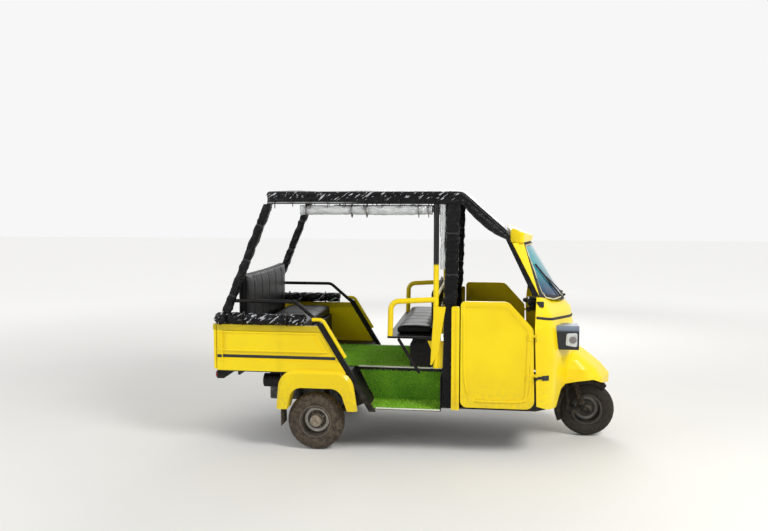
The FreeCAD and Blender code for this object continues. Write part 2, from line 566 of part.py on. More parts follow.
def make_doors():
    door = new_body("door_right")
    skin = [("door_rear", "door_low", "door_foot_round"), ("door_rear", "door_top", "door_round / 2"),
            ("door_slope_x", "door_top", "door_round"), ("door_nose_x", "door_nose_z", "door_nose_round"),
            ("door_foot_x", "door_low", "door_round")]
    # swage inside the edge: corner, rounding
    swage = [
        ("door_rear + 52", "door_low + 48", "40"), ("door_rear + 18", "door_top - 34", "20"),
        ("door_slope_x - 12", "door_top - 34", "50"), ("door_nose_x - 34", "door_nose_z - 14", "40"),
        ("door_foot_x - 66", "door_low + 48", "60")]
    pad(door, "XZ", door_inner, "door_thick - 2", skin)
    pocket(door, "XZ", "body_half - 2", "rib_proud", swage)
    pocket(door, "XZ", f"{door_inner} + rib_proud", "rib_proud", rectangle(
        "door_rear + 60", "door_low + 70", "door_slope_x", "door_top - 70", "40"))
    hinge_y = "(body_half + door_hinge_proud)"
    fixed = []
    for index, level in enumerate(("door_hinge_low", "door_hinge_high")):
        # moving leaf and its knuckle, on the upper half of each hinge
        pad(door, "XY", level, "hinge_width / 2", [
            ("door_hinge_x", f"-{hinge_y} - hinge_radius"), ("door_hinge_x", f"-{hinge_y} + hinge_radius"),
            ("door_hinge_x - 20", "-(body_half - 3)"), ("door_hinge_x - hinge_reach", "-(body_half - 3)"),
            ("door_hinge_x - hinge_reach", "-(body_half + leaf_thick)"),
            ("door_hinge_x - hinge_bend", "-(body_half + leaf_thick)")])
        pad(door, "XY", level, "hinge_width / 2", ("circle", "door_hinge_x", f"-{hinge_y}", "hinge_radius"))
        pocket(door, "XY", f"{level} + hinge_width / 2", "hinge_width / 2",
               ("circle", "door_hinge_x", f"-{hinge_y}", "pin_radius + pin_gap"))
        # fixed leaf: a strap that follows the cowl's side, the knuckle and the pin
        strap = new_body(f"hinge_strap_{index}")
        start = f"{level} - hinge_width / 2 - 1"
        pad(strap, "XY", start, "hinge_width / 2", rectangle(
            "door_hinge_x + hinge_radius", "-body_half - leaf_thick",
            "door_hinge_x + hinge_leaf", "-screen_low_half"))
        bent = doc.addObject("Part::Common", f"hinge_bent_strap_{index}")
        bent.Base = strap
        bent.Tool = cowl_form(f"strap_outer_{index}", "-leaf_thick - fit_gap")
        knuckle = new_body(f"hinge_knuckle_{index}")
        pad(knuckle, "XY", start, "hinge_width / 2", [
            ("door_hinge_x", f"-{hinge_y} - hinge_radius"), ("door_hinge_x + hinge_radius * 2", "-body_half"),
            ("door_hinge_x + hinge_radius * 3", "-screen_low_half"),
            ("door_hinge_x + hinge_radius * 2", "-screen_low_half"),
            ("door_hinge_x", f"-{hinge_y} + hinge_radius")])
        pad(knuckle, "XY", start, "hinge_width / 2",
            ("circle", "door_hinge_x", f"-{hinge_y}", "hinge_radius"))
        pad(knuckle, "XY", f"{level} - 2", "hinge_width / 2 + 2",
            ("circle", "door_hinge_x", f"-{hinge_y}", "pin_radius"))
        leaf = doc.addObject("Part::Cut", f"hinge_leaf_{index}")
        leaf.Base = fused(f"hinge_weld_{index}", [bent, knuckle])
        leaf.Tool = cowl_form(f"strap_inner_{index}", "-fit_gap")
        fixed.append(leaf)
    each_side(door, "door")
    return pair_of(*fixed)


def cowl_outline(rear, corner_x, corner_half, rear_half, front, inset, grow):
    """Plan of the cowl at one height, drawn in by the inset and open further back by grow."""
    return [
        (f"{rear} - {grow}", f"-({rear_half} - {inset})"),
        (f"{corner_x} - {inset}", f"-({corner_half} - {inset})", f"150 - {inset}"),
        (f"{front} - {inset}", "0", f"600 - {inset}"),
        (f"{corner_x} - {inset}", f"{corner_half} - {inset}", f"150 - {inset}"),
        (f"{rear} - {grow}", f"{rear_half} - {inset}")]


def nose_outline(corner_x, half, front, round_radius, inset):
    """Plan of the fender hump over the front wheel at one height."""
    return [
        ("1000", f"-({half} - {inset})"),
        (f"{corner_x} - {inset} / 2", f"-({half} - {inset})", round_radius),
        (f"{front} - {inset}", "0", round_radius),
        (f"{corner_x} - {inset} / 2", f"{half} - {inset}", round_radius),
        ("1000", f"{half} - {inset}")]


# Cowl sections: height, rear edge, corner x, corner half width, rear half width, front.
cowl_rows = [
    (330, 836, 940, "body_half - 50", "body_half - 5", 1165),
    (685, 824, 950, "body_half - 48", "body_half - 2", 1205),
    (905, 816, 930, "body_half - 60", "body_half - 5", 1180),
    (988, 820, 920, "body_half - 78", "body_half - 28", 1166),
    (1125, 830, 858, "body_half - 126", "body_half - 90", 1010)]


def cowl_form(name, inset, open_rear="0"):
    """The cowl's closed form, drawn in by the inset, for what seats on it or inside it."""
    form = new_body(name)
    loft(form, "XY", [(row[0], cowl_outline(*row[1:], inset, open_rear)) for row in cowl_rows])
    return form


def make_cowl():
    cowl = new_body("cowl")
    # height, corner x, half width, front, rounding
    nose_rows = [
        (400, 1300, 300, 1412, 140), (486, 1300, 300, 1415, 140), (560, 1262, 285, 1350, 130),
        (620, 1190, 250, 1276, 105), (655, 1150, 205, 1230, 80), (694, 1105, 140, 1168, 50)]
    loft(cowl, "XY", [(row[0], cowl_outline(*row[1:], "0", "0")) for row in cowl_rows])
    loft(cowl, "XY", [(row[0], nose_outline(*row[1:], "0")) for row in nose_rows])
    stretch = [-3] + [0] * (len(cowl_rows) - 2) + [3]
    loft(cowl, "XY", [(row[0] + more, cowl_outline(*row[1:], "panel_thick", "panel_thick"))
                      for row, more in zip(cowl_rows, stretch)], cut=True)
    loft(cowl, "XY", [(row[0] + more, nose_outline(*row[1:], "panel_thick"))
                      for row, more in zip(nose_rows, [-3, 0, 0, 0, 0, -12])], cut=True)
    # lower edge with its wheel arch: x, z, rounding; then the windscreen's sloping seat
    lower_edge = [
        ("750", "300"), ("750", "385"), ("834", "374"), ("902", "349"), ("978", "340"),
        ("1019", "449", "20"), ("1126", "472", "60"), ("1258", "491", "60"), ("1395", "424"),
        ("1460", "420"), ("1460", "300")]
    pocket(cowl, "XZ", "0", "body_half * 3", lower_edge, middle=True)
    pocket(cowl, "XZ", "0", "body_half * 3", [
        ("700", f"screen_low_z + {screen_slope} * (screen_low_x - 700)"), ("700", "1300"),
        ("1250", "1300"), ("1250", f"screen_low_z + {screen_slope} * (screen_low_x - 1250)")], middle=True)
    for sign in ("-", ""):
        low = "-(lamp_outer + fit_gap)" if sign else "lamp_inner - fit_gap"
        high = "-(lamp_inner - fit_gap)" if sign else "lamp_outer + fit_gap"
        pocket(cowl, "YZ", "lamp_face + 60", "lamp_face - lamp_rear + 60",
               rectangle(low, "lamp_low - fit_gap", high, "lamp_high + fit_gap", "lamp_round"))
    keep(cowl, "cowl_panel")
    block = new_body("bulkhead_block")
    pad(block, "YZ", "cab_floor_front", "panel_thick", rectangle(
        "-body_half", cab_under, "body_half", "bulkhead_top"))
    wall = doc.addObject("Part::Common", "bulkhead_wall")
    wall.Base = block
    wall.Tool = cowl_form("cowl_inside", "(panel_thick + fit_gap)", "panel_thick")
    gusset = new_body("head_gusset")
    pad(gusset, "XZ", "0", "head_radius * 1.4", [
        ("cab_floor_front + panel_thick", "head_low_z - 30"), (steering_point("head_low_z"), "head_low_z"),
        (steering_point("head_high_z"), "head_high_z"),
        ("cab_floor_front + panel_thick", "bulkhead_top")], middle=True)
    tube = raked_bar("head_tube", "head_radius", "head_low_z", "head_high_z")
    bore = raked_bar("head_bore", "stem_radius + pin_gap", "head_low_z - 20", "head_high_z + 20")
    head = doc.addObject("Part::Cut", "bulkhead_and_head")
    head.Base = fused("bulkhead_weld", [wall, gusset, tube])
    head.Tool = bore
    keep(head, "front_bulkhead")


def make_lamps():
    shell = new_body("headlamp_shell")
    pad(shell, "YZ", "lamp_rear", "lamp_face - lamp_rear",
        rectangle("-lamp_outer", "lamp_low", "-lamp_inner", "lamp_high", "lamp_round"))
    pocket(shell, "YZ", "lamp_face", "40", rectangle(
        "-(lamp_outer - bezel_wide)", "lamp_low + bezel_wide", "-(lamp_inner + bezel_wide)",
        "lamp_high - bezel_wide", "lamp_round - bezel_wide"))
    both_sides(shell, "headlamp_shells")
    lens = new_body("headlamp_lens")
    pad(lens, "YZ", "lamp_face - lens_inset - glass_thick", "glass_thick", rectangle(
        "-(lamp_outer - bezel_wide - fit_gap)", "lamp_low + bezel_wide + fit_gap",
        "-(lamp_inner + bezel_wide + fit_gap)", "lamp_high - bezel_wide - fit_gap",
        "lamp_round - bezel_wide"))
    both_sides(lens, "headlamp_lenses")


def make_tubes():
    pillar = new_body("rear_pillar")
    pad(pillar, "XZ", "pillar_outer - pillar_deep", "pillar_deep", [
        ("pillar_foot_x", "pillar_foot_z"), ("pillar_foot_x + pillar_wide", "pillar_foot_z"),
        ("roof_rear + pillar_wide", "band_low"), ("roof_rear", "band_low")])
    post = new_body("centre_post")
    pad(post, "XZ", "post_outer - post_deep", "post_deep", [
        ("post_foot_rear", "cab_floor_top"), ("post_foot_front", "cab_floor_top"),
        ("post_head_front", "band_low"), ("post_head_rear", "band_low")])
    front = doc.addObject("Part::Feature", "front_pillar")
    # front edge, outer face, level and fall of the seat at the foot and at the head
    ends = [("screen_low_side_x", "front_pillar_foot", f"screen_low_side_z + fit_gap", screen_slope),
            ("roof_front - fit_gap", "roof_front_half - fit_gap", "front_band_low - fit_gap",
             front_edge_slope)]
    rows = []
    for x, y, z, fall in ends:
        front_x, outer, level = value(x), value(y), value(z)
        rear_x, inner = front_x - value("front_pillar_wide"), outer - value("post_deep")
        rear_level = level + value(fall) * value("front_pillar_wide")
        spots = [Vector(rear_x, -outer, rear_level), Vector(front_x, -outer, level),
                 Vector(front_x, -inner, level), Vector(rear_x, -inner, rear_level)]
        rows.append(Part.makePolygon(spots + spots[:1]))
    front.Shape = Part.makeLoft(rows, True, True)
    group("roof_pillars", pair_of(pillar, post, front))
    corner = new_body("cab_corner")
    pad(corner, "XZ", "post_outer", "body_half - post_outer", [
        ("corner_rear", "corner_low"), ("door_rear - move_gap", "corner_low"),
        ("door_rear - move_gap", "corner_top", "12"), ("corner_rear", "corner_top", "12")])
    pocket(corner, "XZ", "body_half", "rib_proud",
           rectangle("corner_rear + 18", "corner_low + 30", "corner_rear + 32", "corner_top - 30"))
    both_sides(corner, "cab_corners")
    rail = new_body("roof_rail")
    rail_along = "(roof_half - cover_thick - roof_tube - fit_gap)"
    rail_back = "(roof_rear + cover_thick + roof_tube + fit_gap)"
    rail_level = "(band_low + roof_tube)"
    pad(rail, "YZ", rail_back, f"roof_knee - {rail_back}",
        ("circle", f"-{rail_along}", rail_level, "roof_tube"))
    rake = doc.addObject("Part::Feature", "roof_rake")
    knee = Vector(value("roof_knee"), -value(rail_along), value(rail_level))
    tip = Vector(value("roof_front - roof_tube * 3"),
                 value("cover_thick + roof_tube + fit_gap - roof_front_half"),
                 value(f"front_band_low + {front_edge_slope} * roof_tube * 3 + roof_tube * 1.3"))
    rake.Shape = Part.makeCylinder(value("roof_tube"), (tip - knee).Length, knee, tip - knee).fuse(
        Part.makeSphere(value("roof_tube"), knee))
    bows = []
    for index, station in enumerate((rail_back, "(roof_rear + roof_knee) / 2", "roof_knee - 60")):
        bow = new_body(f"roof_bow_{index}")
        pad(bow, "XZ", "0", f"{rail_along} * 2", ("circle", station, rail_level, "roof_tube"), middle=True)
        bows.append(bow)
    keep(fused("roof_frame", pair_of(rail, rake) + bows), "roof_frame")
    guard = new_body("guard_rail")
    pipe(guard, "XZ", "body_half - strut_deep - rail_tube - fit_gap", [
        (f"pillar_foot_x + pillar_wide + {pillar_slope} * (guard_z - pillar_foot_z) + rail_tube / 2",
         "guard_z"),
        ("guard_front", "guard_z", "70"), ("strut_high_x", "strut_high_z - 12")], "rail_tube")
    strut = new_body("side_strut")
    pad(strut, "XZ", "body_half - strut_deep", "strut_deep", strut_outline("0"))
    group("side_struts", pair_of(strut, guard))
    grab = new_body("grab_tube")
    ahead = f"(strut_wide / 2 + (rail_tube + fit_gap) * sqrt(1 + {strut_slope} ^ 2))"
    pipe(grab, "XZ", "body_half - strut_deep / 2", [
        ("strut_high_x - strut_wide", "strut_high_z + rail_tube + fit_gap"),
        (f"strut_high_x + {ahead} - {strut_slope} * (rail_tube + fit_gap)",
         "strut_high_z + rail_tube + fit_gap", "45"),
        (f"strut_high_x + {ahead} + {strut_slope} * 250", "strut_high_z - 250")], "rail_tube")
    hoop = new_body("seat_hoop")
    pipe(hoop, "XZ", "hoop_y", [
        ("hoop_rear - 6", "jump_pan_z + fit_gap * 2"), ("hoop_rear", "hoop_high", "hoop_bend"),
        ("hoop_front", "hoop_high + 20")], "hoop_tube")
    upright = new_body("hoop_upright")
    pad(upright, "XY", "upright_foot", "band_low - upright_foot - fit_gap",
        ("circle", "hoop_front", "-hoop_y", "hoop_tube"))
    post_slope = "((post_head_rear - post_foot_rear) / (band_low - cab_floor_top))"
    low_edge = f"post_foot_rear + {post_slope} * (upright_foot - cab_floor_top)"
    high_edge = f"post_foot_rear + {post_slope} * (upright_foot + gusset_height - cab_floor_top)"
    gusset = new_body("hoop_gusset")
    pad(gusset, "XZ", "hoop_y - leaf_thick", "leaf_thick * 2", [
        ("hoop_front", "upright_foot"), (low_edge, "upright_foot"),
        (high_edge, "upright_foot + gusset_height"),
        ("hoop_front - hoop_tube * 3", "upright_foot + gusset_height"),
        ("hoop_front", "upright_foot + gusset_height / 4")])
    plate = new_body("post_plate")
    pad(plate, "XZ", "post_outer + fit_gap", "leaf_thick", [
        ("hoop_front - 12", "plate_top"), ("post_foot_front - 47", "plate_top"),
        ("hoop_front + hoop_tube", "plate_waist"), ("hoop_front - 25", "plate_foot"),
        ("hoop_front - 36", "plate_foot"), ("hoop_front - 31", "plate_waist")])
    bars = []
    for index, level in enumerate(("jump_back_low + 50", "jump_back_top - 50")):
        bar = new_body(f"back_bar_{index}")
        pad(bar, "XZ", "0", "hoop_y * 2", ("circle", "hoop_front", level, "rail_tube"), middle=True)
        bars.append(bar)
    group("grab_rails", pair_of(grab, plate) + [fused("seat_hoops", pair_of(hoop, upright, gusset) + bars)])


def screen_row(share, inset, depth_front, depth_back):
    """Plan arc of the windscreen at a share of its height, as an outer and an inner edge."""
    low_mid = Vector(value("screen_low_x"), 0, value("screen_low_z"))
    high_mid = Vector(value("screen_high_x"), 0, value("screen_high_z"))
    low_side = Vector(value("screen_low_side_x"), value("screen_low_half"), value("screen_low_side_z"))
    high_side = Vector(value("screen_high_side_x"), value("screen_high_half"), value("screen_high_z"))
    middle = low_mid + (high_mid - low_mid) * share
    side = low_side + (high_side - low_side) * share
    chord = Vector(side.x, 0, side.z)
    sag = (middle - chord).Length
    radius = (side.y ** 2 + sag ** 2) / (2 * sag)
    back = (chord - middle).normalize()
    centre = middle + back * radius
    angle = math.asin((side.y - inset) / radius)
    edges = []
    for depth in (-depth_front, depth_back):
        reach = radius - depth
        ends = [centre - back * (reach * math.cos(angle)) + Vector(0, sign * reach * math.sin(angle), 0)
                for sign in (-1, 1)]
        edges.append((ends[0], centre - back * reach, ends[1]))
    front, rear = edges
    return Part.Wire([
        Part.Arc(*front).toShape(), Part.LineSegment(front[2], rear[2]).toShape(),
        Part.Arc(rear[2], rear[1], rear[0]).toShape(), Part.LineSegment(rear[0], front[0]).toShape()])


def screen_slab(low, high, inset, front, back):
    rows = [screen_row(share, inset, front, back) for share in (low, high)]
    return Part.makeLoft(rows, True, True)


def make_windscreen():
    border, depth = value("screen_border"), value("screen_depth")
    height = Vector(value("screen_low_x") - value("screen_high_x"), 0,
                    value("screen_high_z") - value("screen_low_z")).Length
    edge = border / height
    fit = value("fit_gap")
    frame = screen_slab(0, 1, 0, 0, depth).cut(screen_slab(edge, 1 - edge, border, 5, depth + 5))
    holder = doc.addObject("Part::Feature", "windscreen_frame")
    holder.Shape = frame
    keep(holder, "windscreen_frame")
    pane = doc.addObject("Part::Feature", "windscreen_glass")
    thick = value("glass_thick")
    pane.Shape = screen_slab(edge + fit / height, 1 - edge - fit / height, border + fit, -8, 8 + thick)
    keep(pane, "windscreen_glass")
    quarter = doc.addObject("Part::Feature", "quarter_panel")
    side_foot = Vector(value("screen_low_side_x"), -value("screen_low_half"), value("screen_low_side_z"))
    side_head = Vector(value("screen_high_side_x"), -value("screen_high_half"), value("screen_high_z"))
    pillar_head = Vector(value("roof_front"), -value("roof_front_half - post_deep / 2"),
                         value("front_band_low"))
    top = value("screen_high_z - quarter_head_gap")
    edges = [(side_foot, side_head, value("quarter_foot_z")), (side_foot, side_head, top),
             (side_foot, pillar_head, top)]
    spots = [start + (end - start) * ((level - start.z) / (end.z - start.z)) for start, end, level in edges]
    outward = (spots[1] - spots[0]).cross(spots[2] - spots[0]).normalize()
    face = Part.Face(Part.makePolygon([spot + outward * (fit * 2) for spot in spots + spots[:1]]))
    quarter.Shape = face.extrude(outward * value("quarter_thick"))
    both_sides(quarter, "screen_surround")
    visor = new_body("visor")
    pad(visor, "XZ", "0", "visor_half * 2", [
        ("roof_front + fit_gap", "screen_high_z + fit_gap"), ("screen_high_x + 6", "screen_high_z + fit_gap"),
        ("screen_high_x + 6", "visor_tip_z - 14"), ("visor_tip_x + 12", "visor_tip_z"),
        ("visor_rear_x", "visor_rear_z"), ("roof_front + fit_gap", "visor_rear_z - 16")], middle=True)
    pocket(visor, "XY", "visor_rear_z + 10", "200", rectangle("0", "-700", "1200", "700"), [
        ("300", "-visor_half"), ("visor_tip_x - 90", "-visor_half", "30"),
        ("visor_tip_x + 22", "0", "900"), ("visor_tip_x - 90", "visor_half", "30"),
        ("300", "visor_half")])
    keep(visor, "visor")


def roof_outline(half, low, high, inset):
    return [
        (f"-({half} - {inset})", f"{low} - {inset}"),
        (f"-({half} - {inset})", f"{high} - {inset}", f"cover_round - {inset} / 2"),
        ("0", f"{high} + roof_rise - {inset}"),
        (f"{half} - {inset}", f"{high} - {inset}", f"cover_round - {inset} / 2"),
        (f"{half} - {inset}", f"{low} - {inset}")]


def make_roof():
    cover = new_body("roof_cover")
    # station, half width, lower edge, upper edge
    rows = [("roof_rear", "roof_half", "band_low", "band_high"),
            ("roof_knee", "roof_half", "band_low", "band_high"),
            ("roof_front", "roof_front_half", "front_band_low", "front_band_high")]
    loft(cover, "YZ", [(row[0], roof_outline(*row[1:], "0")) for row in rows])
    inner = [(f"{rows[0][0]} + cover_thick", roof_outline(*rows[0][1:], "cover_thick")),
             (rows[1][0], roof_outline(*rows[1][1:], "cover_thick")),
             (f"{rows[2][0]} + 1", roof_outline(*rows[2][1:], "cover_thick"))]
    loft(cover, "YZ", inner, cut=True)
    keep(cover, "roof_cover")


def make_seats():
    pan = new_body("jump_seat_frame")
    pad(pan, "XY", "jump_pan_z - pan_thick", "pan_thick", rectangle(
        "jump_rear - 45", "-hoop_y - hoop_tube", "hoop_front - hoop_tube - fit_gap", "hoop_y + hoop_tube"))
    for rear in ("locker_rear + 15", "jump_front - 45"):
        for right in ("-locker_half + 20", "locker_half - 45"):
            pad(pan, "XY", "locker_top", "jump_pan_z - pan_thick - locker_top",
                rectangle(rear, right, f"{rear} + 25", f"{right} + 25"))
    keep(pan, "jump_seat_frame")
    # seat, half width, then cushion: rear, front, lower face, thickness;
    # then back: rear, thickness, lower edge, upper edge
    seats = [
        ("jump_seat", "seat_half - 25", "jump_rear", "jump_front", "jump_pan_z", "jump_cushion",
         "hoop_front - rail_tube - fit_gap - jump_back_thick", "jump_back_thick",
         "jump_back_low", "jump_back_top"),
        ("rear_seat", "seat_half", "bench_rear + bench_back_thick", "bench_front", "bench_base_top",
         "bench_cushion", "bench_rear", "bench_back_thick - fit_gap",
         "bench_base_top + fit_gap", "bench_back_top"),
        ("driver_seat", "driver_half", "driver_rear + back_thick", "driver_front", "driver_base_top",
         "driver_cushion", "driver_rear", "back_thick - fit_gap",
         "driver_base_top + fit_gap", "driver_back_top")]
    for label, half, rear, front, low, thick, back_rear, back_deep, back_low, back_high in seats:
        cushion = new_body(label + "_cushion")
        pad(cushion, "XZ", "0", f"({half}) * 2", [
            (rear, f"{low} + fit_gap"), (front, f"{low} + fit_gap"), (front, f"{low} + {thick}", "24"),
            (rear, f"{low} + {thick}", "24")], middle=True)
        back = new_body(label + "_back")
        pad(back, "YZ", back_rear, back_deep, rectangle(f"-({half})", back_low, half, back_high, "30"))
        group(label + "_cushions", [cushion, back])
    # box, rear, front, half width, lower face, upper face
    boxes = [
        ("seat_locker", "locker_rear", "jump_front", "locker_half", "deck_top", "locker_top"),
        ("rear_bench", "bench_rear", "bench_front", "seat_half", deck_plate_top, "bench_base_top"),
        ("driver_bench", "driver_rear", "driver_front", "driver_half", "cab_floor_top", "driver_base_top")]
    made = []
    for label, rear, front, half, low, high in boxes:
        box = new_body(label)
        pad(box, "XZ", "0", f"({half}) * 2", rectangle(rear, low, front, high, "8"), middle=True)
        made.append(box)
    group("seat_boxes", made)


def make_drive():
    engine = new_body("engine_block")
    beam_low = f"({deck_under} - rail_height)"
    pad(engine, "XY", "engine_low", f"{beam_low} - engine_low", rectangle(
        "engine_rear", "-engine_half", "engine_front", "engine_half", "30"))
    pad(engine, "XZ", "0", "case_half * 2", [
        ("engine_front - 20", "tyre_radius - case_radius + 70"),
        (f"{rear_axle_x} + case_radius", "tyre_radius - case_radius + 10", "40"),
        (f"{rear_axle_x} + case_radius", "tyre_radius + case_radius", "60"),
        ("engine_front - 20", "tyre_radius + case_radius + 60")], middle=True)
    keep(engine, "engine_block")
    arm = new_body("trailing_arm")
    pad(arm, "XZ", "arm_y - arm_width / 2", "arm_width", [
        (f"{rear_axle_x} - arm_height / 2", "tyre_radius - arm_height / 2", "12"),
        (f"{rear_axle_x} + arm_height", "tyre_radius - arm_height / 2"),
        ("pivot_x + rail_width / 2 - 4", "pivot_z - arm_height / 2 + 4", "10"),
        ("pivot_x + rail_width / 2 - 4", "pivot_z + arm_height / 2 - 4", "10"),
        (f"{rear_axle_x} + arm_height / 2", "tyre_radius + arm_height / 2"),
        (f"{rear_axle_x} - arm_height / 2", "tyre_radius + arm_height / 2", "12")])
    pad(arm, "XZ", "arm_y", f"{wheel_y} - arm_y + hub_length / 2 - 6",
        ("circle", rear_axle_x, "tyre_radius", "axle_radius"))
    pad(arm, "XZ", "case_half + fit_gap", "arm_y - case_half - fit_gap",
        ("circle", rear_axle_x, "tyre_radius", "shaft_radius"))
    damper_low = "(tyre_radius + arm_height / 2 - 6)"
    pad(arm, "XY", damper_low, f"{beam_low} - {damper_low} - damper_rod + 10",
        ("circle", "damper_x", "-arm_y", "damper_radius"))
    pad(arm, "XY", f"{beam_low} - damper_rod", "damper_rod - fit_gap",
        ("circle", "damper_x", "-arm_y", "damper_radius / 2"))
    both_sides(arm, "rear_suspension")
    muffler = new_body("muffler")
    middle_x = "(muffler_x + muffler_length / 2)"
    pad(muffler, "YZ", "muffler_x", "muffler_length", ("circle", "-muffler_y", "muffler_z", "muffler_radius"))
    pad(muffler, "XZ", "engine_half + fit_gap", "muffler_y - engine_half",
        ("circle", middle_x, "muffler_z", "exhaust_radius"))
    pad(muffler, "XY", "muffler_z", f"{beam_low} - muffler_z", rectangle(
        f"{middle_x} + leaf_thick * 8", f"-{rail_outer} - rail_width", f"{middle_x} + leaf_thick * 13",
        f"-{rail_outer} + rail_width / 2"))
    keep(muffler, "muffler")
    lamp = new_body("tail_lamp")
    pad(lamp, "YZ", "frame_rear - lamp_deep - fit_gap", "lamp_deep", rectangle(
        "-(body_half - 30)", f"{beam_low} + 6", "-(body_half - 120)", f"{deck_under} - 14", "8"))
    both_sides(lamp, "tail_lamps")


def make_steering():
    stem = raked_bar("fork_stem", "stem_radius", "crown_z", "bar_z - 30")
    crown = new_body("fork_crown")
    crown_x = steering_point("crown_z")
    pad(crown, "XZ", "-stem_radius * 1.5", "leg_y + stem_radius * 2.6", rectangle(
        f"{crown_x} - crown_rear", "crown_z - 22", f"{crown_x} + crown_front", "crown_z + 10", "8"))
    leg = new_body("fork_leg")
    pipe(leg, "XZ", "leg_y", [
        (f"{crown_x} - 6", "crown_z"), ("front_axle_x - link_length + 10", "tyre_radius + 120", "160"),
        ("front_axle_x - link_length + 18", "tyre_radius + 12")], "leg_radius")
    link = new_body("fork_link")
    pad(link, "XZ", "leg_y - 10", "20", [
        ("front_axle_x - link_length", "tyre_radius - 12", "14"),
        ("front_axle_x + spring_radius", "tyre_radius - spring_radius", "20"),
        ("front_axle_x + spring_radius", "tyre_radius + spring_radius", "20"),
        ("front_axle_x - link_length", "tyre_radius + 34", "14")])
    pad(link, "XZ", "-hub_length / 2 + 4", "leg_y + hub_length / 2",
        ("circle", "front_axle_x", "tyre_radius", "axle_radius"))
    spring = new_body("fork_spring")
    pipe(spring, "XZ", "leg_y", [
        ("front_axle_x - 26", "tyre_radius + 10"), (f"{crown_x} + 40", "crown_z - 6")], "spring_radius")
    bracket = new_body("guard_bracket")
    pad(bracket, "XZ", "-20", "40", rectangle(
        f"{crown_x} + 10", "crown_z - 100", f"{crown_x} + 55", "crown_z - 15"))
    pocket(bracket, "XZ", "20", "40", ("circle", "front_axle_x", "tyre_radius",
                                      "tyre_radius + guard_gap + fit_gap"))
    keep(fused("front_fork", [stem, crown, leg, link, spring, bracket]), "front_fork")
    bar = new_body("handlebar_tube")
    bar_x = steering_point("bar_z")
    pipe(bar, "XY", "bar_z", [
        (f"{bar_x} - bar_sweep", "-bar_half"), (bar_x, "-bar_half / 2.4", "bar_sweep"),
        (bar_x, "bar_half / 2.4", "bar_sweep"),
        (f"{bar_x} - bar_sweep", "bar_half")], "bar_radius")
    clamp = raked_bar("bar_clamp", "stem_radius + 6", "bar_z - 30", "bar_z")
    keep(fused("handlebar", [bar, clamp]), "handlebar")
    guard = new_body("front_mudguard")
    outer, inner = "(tyre_radius + guard_gap)", "(tyre_radius + guard_gap - 4)"
    turn = revolve(guard, "YZ", [
        ("-guard_width / 2", "tyre_radius - 10"), ("-guard_width / 2 + 4", "tyre_radius - 10"),
        ("-guard_width / 2 + 4", inner, "10"), ("guard_width / 2 - 4", inner, "10"),
        ("guard_width / 2 - 4", "tyre_radius - 10"), ("guard_width / 2", "tyre_radius - 10"),
        ("guard_width / 2", outer, "14"), ("-guard_width / 2", outer, "14")])
    bind(turn, "Angle", "guard_arc")
    turn.Midplane = True
    guard.Placement.Rotation = FreeCAD.Rotation(Vector(0, 1, 0), -1)
    bind(guard, "Placement.Rotation.Angle", "-guard_turn")
    bind(guard, "Placement.Base.x", "front_axle_x")
    bind(guard, "Placement.Base.z", "tyre_radius")
    keep(guard, "front_mudguard")


def make_soft():
    roll = new_body("curtain_roll")
    pad(roll, "YZ", "roll_rear", "roll_front - roll_rear",
        ("circle", "-roll_y", "band_low - roll_radius - fit_gap", "roll_radius"))
    hang = new_body("curtain_bundle")
    bundle_y = "-hoop_y"
    loft(hang, "XY", [
        (level, [(f"bundle_x - {size}", f"{bundle_y} - {size}", f"{size} - 2"),
                 (f"bundle_x + {size}", f"{bundle_y} - {size}", f"{size} - 2"),
                 (f"bundle_x + {size}", f"{bundle_y} + {size}", f"{size} - 2"),
                 (f"bundle_x - {size}", f"{bundle_y} + {size}", f"{size} - 2")])
        for level, size in (("bundle_low", "bundle_radius"), ("bundle_waist_z", "bundle_waist"),
                            ("band_low - fit_gap", "bundle_radius"))])
    group("side_curtains", pair_of(roll, hang))
    tonneau = new_body("box_roll")
    start = f"(pillar_foot_x + pillar_wide + {pillar_slope} * 2 * tonneau_radius + 4)"
    pad(tonneau, "YZ", start, f"guard_front + 70 - {start}",
        ("circle", "-(body_half - 16)", "box_top + fit_gap + tonneau_radius", "tonneau_radius"))
    both_sides(tonneau, "box_rolls")


def make_wheel(label, across):
    tyre = new_body("tyre_" + label)
    bulge = "bead_radius + 0.45 * (tyre_radius - bead_radius)"
    shoulder = "tyre_radius - tyre_shoulder"
    revolve(tyre, "YZ", [
        ("-bead_width / 2", "bead_radius"), ("-tyre_width / 2", bulge, "tyre_bulge"),
        ("-tyre_width / 2 + 5", shoulder, "14"), ("-tyre_width / 2 + tyre_crown", "tyre_radius", "16"),
        ("tyre_width / 2 - tyre_crown", "tyre_radius", "16"), ("tyre_width / 2 - 5", shoulder, "14"),
        ("tyre_width / 2", bulge, "tyre_bulge"), ("bead_width / 2", "bead_radius")])
    rim = new_body("rim_" + label)
    outer, inner = "(bead_radius - fit_gap)", "(bead_radius - rim_wall)"
    lip = "(bead_width / 2 + rim_lip / 3)"
    revolve(rim, "YZ", [
        (f"-{lip} - rim_wall", "bead_radius + rim_lip"), (f"-{lip}", "bead_radius + rim_lip"),
        (f"-{lip}", outer), (lip, outer),
        (lip, "bead_radius + rim_lip"), (f"{lip} + rim_wall", "bead_radius + rim_lip"),
        (f"{lip} + rim_wall", inner), ("rim_well + rim_wall", inner),
        ("rim_well + rim_wall", "hub_radius"), ("hub_length / 2", "hub_radius"),
        ("hub_length / 2", "axle_radius + pin_gap"), ("-hub_length / 2", "axle_radius + pin_gap"),
        ("-hub_length / 2", "hub_radius"), ("rim_well", "hub_radius"), ("rim_well", inner),
        (f"-{lip} - rim_wall", inner)])
    for piece, name in ((tyre, "tyre_"), (rim, "rim_")):
        bind(piece, "Placement.Base.x", rear_axle_x if across != "0" else "front_axle_x")
        bind(piece, "Placement.Base.y", across)
        bind(piece, "Placement.Base.z", "tyre_radius")
        keep(piece, name + label)


